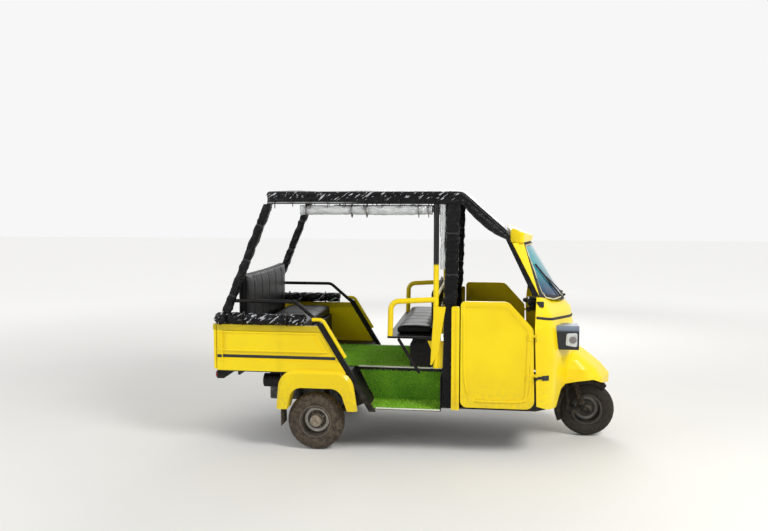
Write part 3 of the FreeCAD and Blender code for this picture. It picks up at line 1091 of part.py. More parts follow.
make_chassis()
make_floors()
make_mats()
make_load_box()
make_fenders()
group("fixed_hinges", make_tailgate() + make_doors())
make_cowl()
make_lamps()
make_tubes()
make_windscreen()
make_roof()
make_seats()
make_drive()
make_steering()
make_soft()
for label, across in (("front", "0"), ("rear_right", f"-{wheel_y}"), ("rear_left", wheel_y)):
    make_wheel(label, across)

doc.recompute()

faults = [f"{item.Label}: {item.State}" for item in doc.Objects
          if "Invalid" in item.State or "Error" in item.State]
faults += [f"{item.Label}: bad shape" for item in nodes
           if item.Shape.isNull() or not item.Shape.isValid() or not item.Shape.Solids]
for item in doc.Objects:
    if item.TypeId in ("PartDesign::Pocket", "PartDesign::Groove", "PartDesign::SubtractiveLoft"):
        if item.Shape.isNull() or item.Shape.Volume >= item.BaseFeature.Shape.Volume - 1:
            faults.append(f"{item.Label}: cuts nothing")
if faults:
    raise RuntimeError("; ".join(faults))

os.makedirs("parts", exist_ok=True)
for item in nodes:
    item.Shape.exportStep(f"parts/{item.Label}.step")
whole = FreeCAD.BoundBox()
for item in nodes:
    whole.add(item.Shape.optimalBoundingBox())
print(f"{len(nodes)} nodes, {whole}")
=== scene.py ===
# Passenger auto rickshaw: paint, vinyl, cloth, rubber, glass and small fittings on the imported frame
import json
import math
import bmesh
import bpy
import numpy as np
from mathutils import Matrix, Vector
from mathutils.bvhtree import BVHTree


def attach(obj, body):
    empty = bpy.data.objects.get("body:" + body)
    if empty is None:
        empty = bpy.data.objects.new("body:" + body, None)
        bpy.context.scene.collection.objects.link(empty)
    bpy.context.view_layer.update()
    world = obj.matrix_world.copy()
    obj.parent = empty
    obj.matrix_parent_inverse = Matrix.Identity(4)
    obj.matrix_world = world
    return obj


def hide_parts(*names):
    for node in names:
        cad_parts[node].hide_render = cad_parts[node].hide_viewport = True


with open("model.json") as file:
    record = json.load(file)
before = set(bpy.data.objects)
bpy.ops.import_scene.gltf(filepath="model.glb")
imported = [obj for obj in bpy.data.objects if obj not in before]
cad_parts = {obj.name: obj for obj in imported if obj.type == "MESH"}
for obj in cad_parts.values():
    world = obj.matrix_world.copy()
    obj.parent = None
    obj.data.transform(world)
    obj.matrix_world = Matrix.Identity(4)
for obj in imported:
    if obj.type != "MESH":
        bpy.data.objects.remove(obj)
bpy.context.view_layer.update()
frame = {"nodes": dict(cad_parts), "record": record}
scene = bpy.context.scene
print("frame loaded:", len(frame["nodes"]), "nodes")

# the camera is fitted to the photo; three soft lights and a pale room stand round the object
camera = {"place": (0.4926, -5.7635, 1.7577), "turnDegrees": (85.204, 0.0, 7.8167), "lens": 35.37,
          "sensor": 36.0, "farClip": 100}
lights = {
    "key": {"place": (4.2, -3.3, 5.4), "aim": (0.1, 0.0, 0.8), "size": 2.4, "watts": 290,
            "colour": (1.0, 0.985, 0.96)},
    "side": {"place": (-4.6, -3.6, 3.0), "aim": (-0.4, 0.0, 0.8), "size": 3.5, "watts": 85,
             "colour": (0.96, 0.98, 1.0)},
    "back": {"place": (0.5, 5.0, 3.6), "aim": (0.0, 0.0, 1.0), "size": 4.0, "watts": 120,
             "colour": (1.0, 1.0, 1.0)}}
room = {"sky": 0.50, "backdrop": 0.93, "floorHalf": 30.0, "floorLevel": -0.001}
xAxis, yAxis, zAxis = (1.0, 0.0, 0.0), (0.0, 1.0, 0.0), (0.0, 0.0, 1.0)

# screen colours, 0 to 255
inks = {
    "yellow": (249, 221, 0), "yellowWarm": (243, 211, 0), "yellowDust": (190, 168, 78),
    # the second ink on the next line is painted shadow, the shade under the box rolls
    "yellowWorn": (212, 186, 24), "yellowWashed": (150, 134, 22), "chip": (92, 84, 62),
    "railBlack": (15, 15, 17),
    "chassis": (13, 13, 15), "chassisDust": (104, 94, 78), "rust": (92, 58, 34),
    # the third ink on the next line is a painted highlight, for glints on the glossy vinyl
    "vinyl": (10, 10, 12), "vinylDust": (64, 64, 66), "vinylBroken": (222, 224, 230), "hem": (172, 174, 176),
    "seat": (9, 9, 11), "seatWorn": (48, 45, 42),
    "mat": (98, 160, 28), "matLight": (128, 190, 42), "matDeep": (44, 96, 20),
    "blade": (198, 242, 64), "bladeDark": (132, 200, 40), "bladeDust": (206, 230, 128),
    "nosing": (238, 238, 226), "nosingAged": (214, 218, 196), "scuff": (120, 116, 100),
    "tyre": (24, 23, 24), "tyreDust": (134, 118, 98),
    # dish and well on the next line are painted shade, darkening the wheel's recesses
    "rimHub": (158, 148, 132), "dish": (56, 51, 47), "brightRing": (206, 202, 192), "well": (50, 46, 43),
    # slot on the next line is painted shade, seen through the wheel's vent holes
    "lip": (120, 112, 100), "slot": (16, 15, 15), "driedMud": (128, 112, 90), "rimRust": (112, 70, 42),
    # painted shadow: darkens the front wheel as if in the nose's shade
    "rimShade": (26, 25, 25),
    "glass": (38, 172, 184), "glassDeep": (10, 58, 104), "glassFilm": (176, 190, 180),
    "lens": (240, 244, 246), "lensHaze": (206, 204, 190),
    "shell": (17, 18, 20), "shellFaded": (52, 55, 62), "shellCap": (112, 124, 142),
    "redDeep": (128, 12, 10), "red": (214, 34, 22),
    "seal": (22, 23, 24), "sealDust": (86, 84, 80),
    "clear": (246, 248, 249), "milky": (206, 208, 206),
    "alloy": (96, 96, 94), "alloyGrime": (38, 34, 30),
    "exhaust": (20, 19, 19), "burnt": (82, 54, 38),
    "flap": (20, 19, 19), "flapDust": (112, 97, 78),
    "hinge": (18, 18, 19), "hingeYellow": (240, 214, 8),
    "silver": (222, 224, 224), "silverFlute": (158, 164, 168), "silverDull": (92, 96, 102),
    "bowl": (124, 117, 116),
    "cream": (226, 220, 188), "creamAged": (176, 164, 122),
    "hubMud": (156, 148, 134), "hubMudDark": (116, 100, 80), "hubOil": (48, 43, 38),
    "floor": (236, 235, 232), "floorMottle": (230, 229, 226), "floorGlow": (176, 176, 175),
    "none": (0, 0, 0)}

# where a look sets in, in metres along one axis or from a centre: each pair is (not yet, in full)
zones = {
    # the last two zones on the next line and the first two on the line after it bound the painted shadow
    # under the box rolls
    "sillDust": (0.62, 0.24), "chips": (0.75, 0.35), "washLow": (0.842, 0.856), "washHigh": (0.899, 0.895),
    "washRear": (-0.62, -0.66), "washSide": (0.612, 0.622), "chassisDust": (0.62, 0.18),
    "roofSide": (0.598, 0.610), "roofEdge": (1.765, 1.785), "rollBelow": (1.02, 0.98),
    "rollRear": (-0.70, -0.74),
    "hemLow": (1.749, 1.752), "hemHigh": (1.761, 1.758), "hemRear": (-0.35, -0.55),
    "slotInner": (0.050, 0.052), "slotOuter": (0.066, 0.064), "glassDeep": (1.36, 1.10),
    "capLow": (0.866, 0.884), "capHigh": (1.0, 0.95), "flapDust": (0.45, 0.12), "bowl": (0.031, 0.020),
    "farFloor": (2.2, 9.5)}


def aimed(place, target):
    return (Vector(target) - Vector(place)).to_track_quat("-Z", "Y").to_euler()


def tone(ink):
    # a screen colour as the linear value that a shader takes
    parts = np.array(ink) / 255
    linear = np.where(parts <= 0.04045, parts / 12.92, ((parts + 0.055) / 1.055) ** 2.4)
    return (*linear.tolist(), 1.0)


cameraData = bpy.data.cameras.new("photoView")
cameraData.lens = camera["lens"]
cameraData.sensor_width = camera["sensor"]
cameraData.clip_end = camera["farClip"]
cameraObject = bpy.data.objects.new("photoView", cameraData)
cameraObject.location = camera["place"]
cameraObject.rotation_euler = [math.radians(turn) for turn in camera["turnDegrees"]]
scene.collection.objects.link(cameraObject)
scene.camera = cameraObject

for label, light in lights.items():
    lampData = bpy.data.lights.new(label + "Light", "AREA")
    lampData.shape = "DISK"
    lampData.size = light["size"]
    lampData.energy = light["watts"]
    lampData.color = light["colour"]
    lampObject = bpy.data.objects.new(label + "Light", lampData)
    lampObject.location = light["place"]
    lampObject.rotation_euler = aimed(light["place"], light["aim"])
    scene.collection.objects.link(lampObject)
scene.view_settings.view_transform = "Standard"


class Wire:
    # one output socket of a node; + - * / ** > < on it add Math nodes beside it
    def __init__(self, socket):
        self.socket = socket
        self.tree = socket.id_data

    def plug(self, target):
        self.tree.links.new(self.socket, target)

    def math(self, operation, *values, clamp=False):
        node = self.tree.nodes.new("ShaderNodeMath")
        node.operation = operation
        node.use_clamp = clamp
        for entry, number in zip(node.inputs, values):
            if isinstance(number, Wire):
                number.plug(entry)
            else:
                entry.default_value = number
        return Wire(node.outputs[0])

    def __add__(self, other):
        return self.math("ADD", self, other)

    def __radd__(self, other):
        return self.math("ADD", other, self)

    def __sub__(self, other):
        return self.math("SUBTRACT", self, other)

    def __rsub__(self, other):
        return self.math("SUBTRACT", other, self)

    def __mul__(self, other):
        return self.math("MULTIPLY", self, other)

    def __rmul__(self, other):
        return self.math("MULTIPLY", other, self)

    def __truediv__(self, other):
        return self.math("DIVIDE", self, other)

    def __pow__(self, other):
        return self.math("POWER", self, other)

    def __gt__(self, other):
        return self.math("GREATER_THAN", self, other)

    def __lt__(self, other):
        return self.math("LESS_THAN", self, other)

    def clamped(self):
        return self.math("ADD", self, 0.0, clamp=True)

    def wave(self):
        return self.math("SINE", self)

    def size(self):
        return self.math("ABSOLUTE", self)

    def rise(self, low, high):
        # 0 below low, 1 above high, smooth between; low may be the larger one
        share = ((self - low) / (high - low)).clamped()
        return share * share * (3.0 - 2.0 * share)

    def within(self, name, *others):
        # 1 where every named zone holds in full
        share = self.rise(*zones[name])
        for other in others:
            share = share * self.rise(*zones[other])
        return share


class Finish:
    # one material: its shader, the object coordinates, and short ways to add nodes
    def __init__(self, name, **fixed):
        self.material = bpy.data.materials.new(name)
        self.material.use_nodes = True
        self.tree = self.material.node_tree
        self.shader = self.tree.nodes["Principled BSDF"]
        self.spot = self.add("TexCoord", out="Object")
        split = self.tree.nodes.new("ShaderNodeSeparateXYZ")
        self.spot.plug(split.inputs[0])
        self.x, self.y, self.z = [Wire(output) for output in split.outputs]
        for socket, number in fixed.items():
            self.shader.inputs[socket.replace("_", " ")].default_value = number

    def add(self, kind, settings=None, inputs=None, out=0):
        node = self.tree.nodes.new("ShaderNode" + kind)
        for label, setting in (settings or {}).items():
            setattr(node, label, setting)
        for key, number in (inputs or {}).items():
            if isinstance(number, Wire):
                number.plug(node.inputs[key])
            else:
                node.inputs[key].default_value = number
        return Wire(node.outputs[out])

    def noise(self, scale, detail=4.0, rough=0.55, warp=0.0, spot=None):
        return self.add("TexNoise", {}, {"Vector": spot or self.spot, "Scale": scale, "Detail": detail,
                                         "Roughness": rough, "Distortion": warp})

    def cells(self, scale):
        return self.add("TexVoronoi", {}, {"Vector": self.spot, "Scale": scale})

    def stretch(self, across, along, up):
        return self.add("Mapping", {}, {"Vector": self.spot, "Scale": (across, along, up)})

    def slanted(self, turn, long, short):
        # coordinates turned about Y, then stretched: noise read from them lies in slanting streaks
        return self.add("Mapping", {"vector_type": "TEXTURE"},
                        {"Vector": self.spot, "Rotation": (0.0, turn, 0.0), "Scale": (long, 1.0, short)})

    def layers(self, ground, *coats):
        # coats of (share, colour), each mixed over what lies under it; a colour is a wire or an ink's name
        for share, coat in coats:
            under, over = [part if isinstance(part, Wire) else tone(inks[part]) for part in (ground, coat)]
            ground = self.add("Mix", {"data_type": "RGBA"}, {0: share, 6: under, 7: over}, 2)
        return ground

    def bump(self, height, depth, strength, under=None):
        links = {"Height": height, "Distance": depth, "Strength": strength}
        if under:
            links["Normal"] = under
        return self.add("Bump", {}, links)

    def paint(self, colour, rough=None, relief=None, **more):
        # plugs what varies into the shader; relief holds what bump takes
        wires = {"Base Color": colour, "Roughness": rough, "Normal": relief and self.bump(*relief), **more}
        for socket, wire in wires.items():
            if wire:
                wire.plug(self.shader.inputs[socket.replace("_", " ")])
        return self.material


def yellowPaint(name="yellowPaint", blackAbove=None):
    # enamel: hue drifts with slow noise, road dust rises from the sills, worn streaks run down, a painted
    # shadow darkens the band just under the box rolls, chips show near the ground; above a level, where one
    # is given, it is black
    look = Finish(name, Specular_IOR_Level=0.26, Coat_Roughness=0.08)
    drift = look.noise(2.2, 3.0)
    fine = look.noise(38.0, 5.0, 0.6)
    dust = look.z.within("sillDust") * fine.rise(0.32, 0.72) * 0.55
    streak = look.noise(9.0, 4.0, 0.5, 0.0, look.stretch(1.0, 1.0, 0.12))
    # painted shadow: the band just under the box rolls is darkened as the rolls' shade would darken it
    rollShade = look.z.within("washLow", "washHigh") * look.x.within("washRear")
    rollShade = rollShade * look.y.size().within("washSide")
    chips = (look.noise(120.0, 3.0, 0.7) > 0.74) * look.z.within("chips")
    colour = look.layers("yellow", (drift.rise(0.35, 0.65), "yellowWarm"), (dust, "yellowDust"),
                         (streak.rise(0.60, 0.82) * 0.22, "yellowWorn"),
                         (rollShade * (0.35 + streak * 0.5), "yellowWashed"), (chips, "chip"))
    if blackAbove:
        colour = look.layers(colour, (look.z.rise(blackAbove - 0.01, blackAbove + 0.01), "railBlack"))
    return look.paint(colour, 0.30 + fine * 0.10 + dust * 0.45, (look.noise(210.0, 2.0), 0.0002, 0.35),
                      Coat_Weight=(0.24 - dust).clamped())


def blackPaint():
    # satin chassis black: grey dust by noise and height, small rust freckles
    look = Finish("blackPaint", Specular_IOR_Level=0.18)
    dust = look.noise(26.0, 6.0, 0.62).rise(0.35, 0.75) * (0.08 + 0.42 * look.z.within("chassisDust"))
    rust = (look.noise(70.0, 4.0, 0.7) > 0.70) * (look.noise(6.0) > 0.52)
    colour = look.layers("chassis", (dust, "chassisDust"), (rust * 0.7, "rust"))
    return look.paint(colour, 0.42 + dust * 0.6, (look.noise(160.0, 3.0), 0.0003, 0.4))


def roofVinyl():
    # coated cloth: a fine weave under long creases from stretched noise, grey with dust in slow patches;
    # where slanting, stretched noise passes a limit, pale streaks of painted highlight stand for glints,
    # along the roof's side edges and on the box rolls; a pale hem line follows the rear part of the roof's
    # edge
    look = Finish("roofVinyl", Specular_IOR_Level=0.16)
    weave, cross = [look.add("TexWave", {"bands_direction": way},
                             {"Vector": look.spot, "Scale": 420.0, "Distortion": 0.6}) for way in "XZ"]
    crease = look.noise(13.0, 5.0, 0.62, 0.9, look.stretch(0.55, 1.0, 1.5))
    dust = look.noise(5.0, 5.0, 0.65)
    # painted highlight: slanting streaks that stand for glints on the glossy vinyl
    streak = look.noise(31.0, 3.0, 0.55, 0.5, look.slanted(-0.62, 1.9, 0.42))
    side = look.y.size().within("roofSide")
    roll = look.z.within("rollBelow") * look.x.within("rollRear")
    # where the painted highlights go: the roof's side edges and the box rolls
    wearAndGlint = (look.z.within("roofEdge") * side + roll).clamped()
    hem = look.z.within("hemLow", "hemHigh") * look.x.within("hemRear") * side
    colour = look.layers("vinyl", (dust.rise(0.45, 0.80) * 0.22, "vinylDust"),
                         (streak.rise(0.585, 0.63) * wearAndGlint * 0.75, "vinylBroken"), (hem * 0.6, "hem"))
    grain = look.bump(weave * cross, 0.00025, 0.4)
    return look.paint(colour, 0.16 + dust * 0.20, (crease, 0.020, 0.75, grain))


def seatVinyl():
    # leatherette: small cells for the grain under shallow sitting creases, worn paler in slow patches
    look = Finish("seatVinyl", Specular_IOR_Level=0.12)
    wear = look.noise(7.0, 4.0)
    colour = look.layers("seat", (wear.rise(0.42, 0.76) * 0.25, "seatWorn"))
    grain = look.bump(look.cells(430.0), 0.0004, 0.5)
    return look.paint(colour, 0.27 + wear * 0.22, (look.noise(18.0, 4.0, 0.6, 1.2), 0.006, 0.35, grain))


def matGreen():
    # woven backing of the green mat, seen between the blades: paler in slow patches, deep at cell edges
    look = Finish("matGreen", Roughness=0.9)
    tuft = look.cells(210.0)
    colour = look.layers("mat", (look.noise(6.0, 4.0).rise(0.3, 0.7), "matLight"),
                         (tuft.rise(0.2, 0.9) * 0.6, "matDeep"))
    return look.paint(colour, relief=(tuft, 0.003, 0.8))


def bladeGreen():
    # each blade takes a shade from cells as wide as a tuft, paler where dust lies
    look = Finish("bladeGreen", Roughness=0.62)
    return look.paint(look.layers("blade", (look.cells(120.0).rise(0.1, 0.8), "bladeDark"),
                                  (look.noise(7.0, 3.0).rise(0.45, 0.75) * 0.3, "bladeDust")))


def nosingWhite():
    # painted edging strip: off-white, aged in patches, scuffed dark along streaks that follow the step
    look = Finish("nosingWhite")
    scuff = look.noise(60.0, 5.0, 0.6, 0.0, look.stretch(0.25, 1.0, 2.0))
    colour = look.layers("nosing", (look.noise(8.0, 3.0).rise(0.3, 0.7), "nosingAged"),
                         (scuff.rise(0.58, 0.78) * 0.6, "scuff"))
    return look.paint(colour, 0.42 + scuff * 0.3, (scuff, 0.0008, 0.4))


def reachFrom(look, centre):
    # how far a point lies from a line that runs across the vehicle through the centre
    across, rise = look.x - centre[0], look.z - centre[2]
    return (across * across + rise * rise) ** 0.5


def tyreRubber(name, centre, dustUnlessShaded):
    # rubber with beige road dust in fine and slow noise; darker rings where the sidewall is ribbed; the last
    # argument scales the dust, and a low one darkens the tyre as painted shadow
    look = Finish(name, Specular_IOR_Level=0.3)
    fine = look.noise(42.0, 6.0, 0.65)
    ring = (reachFrom(look, centre) * 420.0).wave().size() * 0.5 + 0.5
    dust = (0.10 + 0.75 * fine.rise(0.25, 0.75)) * (0.40 + 0.60 * look.noise(7.0, 3.0)) * ring * dustUnlessShaded
    colour = look.layers("tyre", (dust.clamped(), "tyreDust"))
    return look.paint(colour, 0.66 + fine * 0.25, (fine, 0.0012, 0.5))


# radius where each ring of a wheel begins, from the hub outwards
# the dish and well rings are painted shade in the wheel's recesses
rimRings = {"dish": 0.043, "brightRing": 0.067, "well": 0.087, "lip": 0.110}


def rimSteel(name, centre, paintedShade):
    # wheel enamel in rings from the axle: tan hub, a dish darkened by painted shade with eight slots painted
    # darker as the shade seen through vent holes, bright ring, a well darkened by painted shade, grey lip;
    # brown where mud dried, small rust spots; the last argument darkens the whole wheel as painted shadow
    look = Finish(name, Metallic=0.2)
    fine = look.noise(55.0, 5.0, 0.65)
    rust = (look.noise(95.0, 3.0, 0.7) > 0.68) * 0.8
    reach = reachFrom(look, centre)
    angle = look.z.math("ARCTAN2", look.z - centre[2], look.x - centre[0])
    # painted shade: eight slots darkened as if shade showed through vent holes
    slot = ((angle * 4.0).wave().size() > 0.72) * reach.within("slotInner", "slotOuter")
    rings = [(reach.rise(start, start + 0.003), ink) for ink, start in rimRings.items()]
    # dish, well and slots are painted shade; the last layer is painted shadow over the whole wheel
    colour = look.layers("rimHub", *rings, (slot, "slot"), (fine.rise(0.35, 0.75) * 0.45, "driedMud"),
                         (rust, "rimRust"), (paintedShade, "rimShade"))
    return look.paint(colour, 0.34 + fine * 0.3, (fine, 0.0005, 0.4))


def tealGlass():
    # tinted glass, deeper blue towards its lower edge, a film of dust in slow streaks
    look = Finish("tealGlass", Transmission_Weight=0.30, IOR=1.45, Specular_IOR_Level=0.35)
    film = look.noise(14.0, 5.0, 0.6, 0.4).rise(0.5, 0.8)
    colour = look.layers("glass", (look.z.within("glassDeep"), "glassDeep"), (film * 0.16, "glassFilm"))
    return look.paint(colour, 0.03 + film * 0.12)


def lampGlass():
    # clear lens with upright flutes pressed into it, hazed in patches
    look = Finish("lampGlass", Transmission_Weight=0.88, IOR=1.45, Roughness=0.04)
    colour = look.layers("lens", (look.noise(30.0, 4.0).rise(0.4, 0.8) * 0.35, "lensHaze"))
    return look.paint(colour, relief=((look.y * 760.0).wave() * 0.5 + 0.5, 0.0016, 0.7))


def lampShell():
    # moulded black plastic with a fine pebble, faded in patches; its cap, by height, is grey blue
    look = Finish("lampShell", Specular_IOR_Level=0.5)
    fade = look.noise(12.0, 3.0)
    colour = look.layers("shell", (fade.rise(0.35, 0.75) * 0.4, "shellFaded"),
                         (look.z.within("capLow", "capHigh"), "shellCap"))
    return look.paint(colour, 0.22 + fade * 0.2, (look.cells(640.0), 0.0003, 0.4))


def redLens():
    # red plastic over a prism grid
    look = Finish("redLens", Transmission_Weight=0.25, Specular_IOR_Level=0.6)
    prism = (look.y * 900.0).wave().size() * (look.z * 900.0).wave().size()
    return look.paint(look.layers("redDeep", (prism, "red")), 0.16 + prism * 0.1, (prism, 0.001, 0.7))


def screenSeal():
    # black rubber profile, dull, grey with dust in its pores
    look = Finish("screenSeal")
    pore = look.noise(150.0, 4.0, 0.7)
    colour = look.layers("seal", (pore.rise(0.45, 0.8) * look.noise(11.0, 3.0), "sealDust"))
    return look.paint(colour, 0.52 + pore * 0.3, (pore, 0.0005, 0.4))


def clearSheet():
    # thin clear plastic: mostly seen through, milky where its layers crease
    look = Finish("clearSheet", Transmission_Weight=0.50, IOR=1.12, Specular_IOR_Level=0.7)
    milk = look.noise(24.0, 5.0, 0.6, 0.8, look.stretch(0.3, 1.0, 1.0))
    colour = look.layers("clear", (milk.rise(0.40, 0.75), "milky"))
    return look.paint(colour, 0.12 + milk * 0.25, (milk, 0.006, 0.6))


def castGrey():
    # sand-cast alloy under oil and dust
    look = Finish("castGrey", Metallic=0.55)
    grime = look.noise(9.0, 5.0, 0.65)
    colour = look.layers("alloy", (grime.rise(0.38, 0.68), "alloyGrime"))
    return look.paint(colour, 0.45 + grime * 0.3, (look.noise(190.0, 5.0, 0.7), 0.0009, 0.6))


def hotSteel():
    # exhaust black burnt off to brown rust in patches, finely pitted
    look = Finish("hotSteel", Metallic=0.3)
    burn = look.noise(16.0, 6.0, 0.68, 0.4)
    colour = look.layers("exhaust", (burn.rise(0.50, 0.70), "burnt"))
    return look.paint(colour, 0.5 + burn * 0.3, (look.noise(130.0, 4.0, 0.7), 0.0012, 0.6))


def flapRubber():
    # moulded rubber sheet with fine ribs across, dust thicker at the bottom
    look = Finish("flapRubber")
    dust = look.noise(40.0, 5.0, 0.6).rise(0.3, 0.7) * (0.25 + 0.6 * look.z.within("flapDust"))
    colour = look.layers("flap", (dust, "flapDust"))
    return look.paint(colour, 0.6 + dust * 0.3, ((look.z * 520.0).wave(), 0.0012, 0.5))


def hingePaint():
    # black hinge leaves; the doors' upper pair, in front of 0 and above 0.7, is sprayed yellow with the body
    look = Finish("hingePaint", Specular_IOR_Level=0.4)
    wearAndGlint = look.noise(60.0, 4.0, 0.6)
    sprayed = (look.x > 0.0) * (look.z > 0.7) * wearAndGlint.rise(0.70, 0.62)
    return look.paint(look.layers("hinge", (sprayed, "hingeYellow")), 0.32 + wearAndGlint * 0.2, (wearAndGlint, 0.0004, 0.4))


def lensWhite(bowlCentre, flankBeyond):
    # lamp lens: pale silver crossed by upright flutes, greyer in slow patches; a round bowl, darker, shows
    # through the side lens, which is what lies beyond the flank on either side
    look = Finish("lensWhite", Specular_IOR_Level=0.6, Metallic=0.15)
    flute = ((look.x + look.y) * 620.0).wave() * 0.5 + 0.5
    bowl = reachFrom(look, bowlCentre).within("bowl") * (look.y.size() > flankBeyond)
    colour = look.layers("silver", (flute * 0.6, "silverFlute"),
                         (look.noise(34.0, 3.0).rise(0.50, 0.72) * 0.6, "silverDull"), (bowl, "bowl"))
    return look.paint(colour, 0.08 + flute * 0.10, (flute, 0.0012, 0.6))


def creamBead():
    # aged light rubber bead, yellowed and dusty in fine noise
    look = Finish("creamBead")
    age = look.noise(32.0, 4.0, 0.6)
    colour = look.layers("cream", (age.rise(0.35, 0.75), "creamAged"))
    return look.paint(colour, 0.45 + age * 0.25, (age, 0.0005, 0.4))


def hubTan():
    # cast hub under dried mud: tan and grey by noise, oily dark in slow patches
    look = Finish("hubTan", Metallic=0.15)
    mud = look.noise(40.0, 5.0, 0.62)
    colour = look.layers("hubMud", (mud.rise(0.35, 0.70), "hubMudDark"),
                         (look.noise(13.0, 3.0).rise(0.58, 0.75) * 0.6, "hubOil"))
    return look.paint(colour, 0.38 + mud * 0.3, (mud, 0.0010, 0.5))


wheels = {
    "Front": {"centre": (1.245, 0.0, 0.205), "body": "front_wheel", "tyre": "tyre_front", "rim": "rim_front",
              "turned": 0.06, "out": 1},
    "RearRight": {"centre": (-0.705, -0.585, 0.205), "body": "rear_right_wheel", "tyre": "tyre_rear_right",
                  "rim": "rim_rear_right", "turned": 0.31, "out": -1},
    "RearLeft": {"centre": (-0.705, 0.585, 0.205), "body": "rear_left_wheel", "tyre": "tyre_rear_left",
                 "rim": "rim_rear_left", "turned": 0.17, "out": 1}}
frontAxle, rearAxle = wheels["Front"]["centre"], wheels["RearRight"]["centre"]
finishes = {
    "body_yellow": yellowPaint(), "frame_black": blackPaint(), "roof_vinyl": roofVinyl(),
    "seat_vinyl": seatVinyl(), "deck_grass": matGreen(), "trim_white": nosingWhite(),
    "tyre": tyreRubber("tyreRubber", rearAxle, 1.0), "rim_steel": rimSteel("rimSteel", rearAxle, 0.0),
    "screen_glass": tealGlass(), "screen_seal": screenSeal(), "lamp_clear": lampGlass(),
    "lamp_black": lampShell(), "lamp_red": redLens(), "curtain_clear": clearSheet(),
    "engine_grey": castGrey(), "muffler_steel": hotSteel(), "flap_rubber": flapRubber()}
# painted shadow: the front rim is darkened by its last argument, as if in the nose's shade
ofNode = {"rim_front": rimSteel("rimSteelFront", frontAxle, 0.62),
          # painted shadow: the front tyre shows less dust, so it reads darker as if in the nose's shade
          "tyre_front": tyreRubber("tyreRubberFront", frontAxle, 0.30),
          "fixed_hinges": hingePaint(), "grab_rails": yellowPaint("railPaint", 1.33)}
slotOf = {row["node"]: row["material_slot"] for row in frame["record"]["subparts"]}
for label, node in frame["nodes"].items():
    if not node.material_slots:
        node.data.materials.append(None)
    for entry in node.material_slots:
        entry.material = ofNode.get(label, finishes[slotOf[label]])
print("finishes on", len(slotOf), "nodes")


def seenRays(tree):
    # 1 for rays from the camera and for mirror and glass rays, 0 for the rest
    rays = tree.nodes.new("ShaderNodeLightPath")
    seen = Wire(rays.outputs["Is Camera Ray"])
    for kind in ("Is Glossy Ray", "Is Transmission Ray"):
        seen = seen.math("MAXIMUM", seen, Wire(rays.outputs[kind]))
    return seen


def floorPale():
    # plain pale floor with a hint of mottling; far from the object it glows towards the backdrop's level,
    # for camera, mirror and glass rays alone, so that no dark horizon shows
    look = Finish("floorPale", Roughness=0.85, Emission_Strength=1.0)
    away = (look.x * look.x + look.y * look.y) ** 0.5
    glow = look.layers("none", (away.within("farFloor") * seenRays(look.tree), "floorGlow"))
    return look.paint(look.layers("floor", (look.noise(0.8, 3.0), "floorMottle")), Emission_Color=glow)


floorMesh = bpy.data.meshes.new("floor")
floorMesh.from_pydata([(x * room["floorHalf"], y * room["floorHalf"], room["floorLevel"])
                       for x, y in ((-1, -1), (1, -1), (1, 1), (-1, 1))], [], [(0, 1, 2, 3)])
floorMesh.materials.append(floorPale())
floorObject = bpy.data.objects.new("floor", floorMesh)
scene.collection.objects.link(floorObject)

world = bpy.data.worlds.new("room")
world.use_nodes = True
scene.world = world
background = world.node_tree.nodes["Background"]
level = seenRays(world.node_tree) * (room["backdrop"] - room["sky"]) + room["sky"]
level.plug(background.inputs["Strength"])
background.inputs["Color"].default_value = (1.0, 1.0, 1.0, 1.0)


def ripple(points, rule, shift=0, waves=9):
    # smooth unevenness within about a depth: sines along seeded headings, each about one size long, added
    # up; the rule is (depth, size, seed)
    depth, size, seed = rule
    draw = np.random.default_rng(seed + shift)
    heading = draw.normal(size=(waves, 3))
    heading /= np.linalg.norm(heading, axis=1, keepdims=True)
    heading *= 2 * math.pi / (size * draw.uniform(0.6, 1.7, (waves, 1)))
    swings = np.sin(points @ heading.T + draw.uniform(0, 2 * math.pi, waves))
    return depth * swings.sum(axis=-1) / waves ** 0.5


def around(count):
    # angles once round, in even steps
    return np.linspace(0, 2 * math.pi, count, endpoint=False)


def bell(at, place, width):
    # 1 at the place, falling to nothing on both sides of it
    return np.exp(-((at - place) / width) ** 2)


def spread(*parts):
    # coordinates of matching or single sizes as points
    return np.stack(np.broadcast_arrays(*parts), axis=-1)


def line(start, end, count):
    # evenly spaced points from one place to another
    start, end = np.asarray(start, float), np.asarray(end, float)
    return start + np.linspace(0, 1, count)[:, None] * (end - start)


def quads(rows, columns, roundRows=False, roundColumns=True):
    # four-cornered faces between the neighbours of a grid, joined to its start where it is round
    row = np.arange(rows if roundRows else rows - 1)[:, None]
    column = np.arange(columns if roundColumns else columns - 1)[None, :]
    nextRow, nextColumn = (row + 1) % rows, (column + 1) % columns
    corners = [row * columns + column, nextRow * columns + column,
               nextRow * columns + nextColumn, row * columns + nextColumn]
    return np.stack(corners, axis=-1).reshape(-1, 4)


def fan(hub, ring):
    # three-cornered faces from one point to each step of a ring
    return np.stack([np.full(len(ring), hub), ring, np.roll(ring, -1)], axis=1)


def looped(grid):
    # points and faces of a grid that is round both ways
    return grid.reshape(-1, 3), quads(*grid.shape[:2], True, True)


def capped(grid):
    # points and faces of closed rings, with a point set in each end
    rows, columns = grid.shape[:2]
    ring, pole = np.arange(columns), rows * columns
    faces = [quads(rows, columns), fan(pole, ring), fan(pole + 1, (rows - 1) * columns + ring)]
    return np.vstack([grid.reshape(-1, 3), grid[0].mean(axis=0), grid[-1].mean(axis=0)]), faces


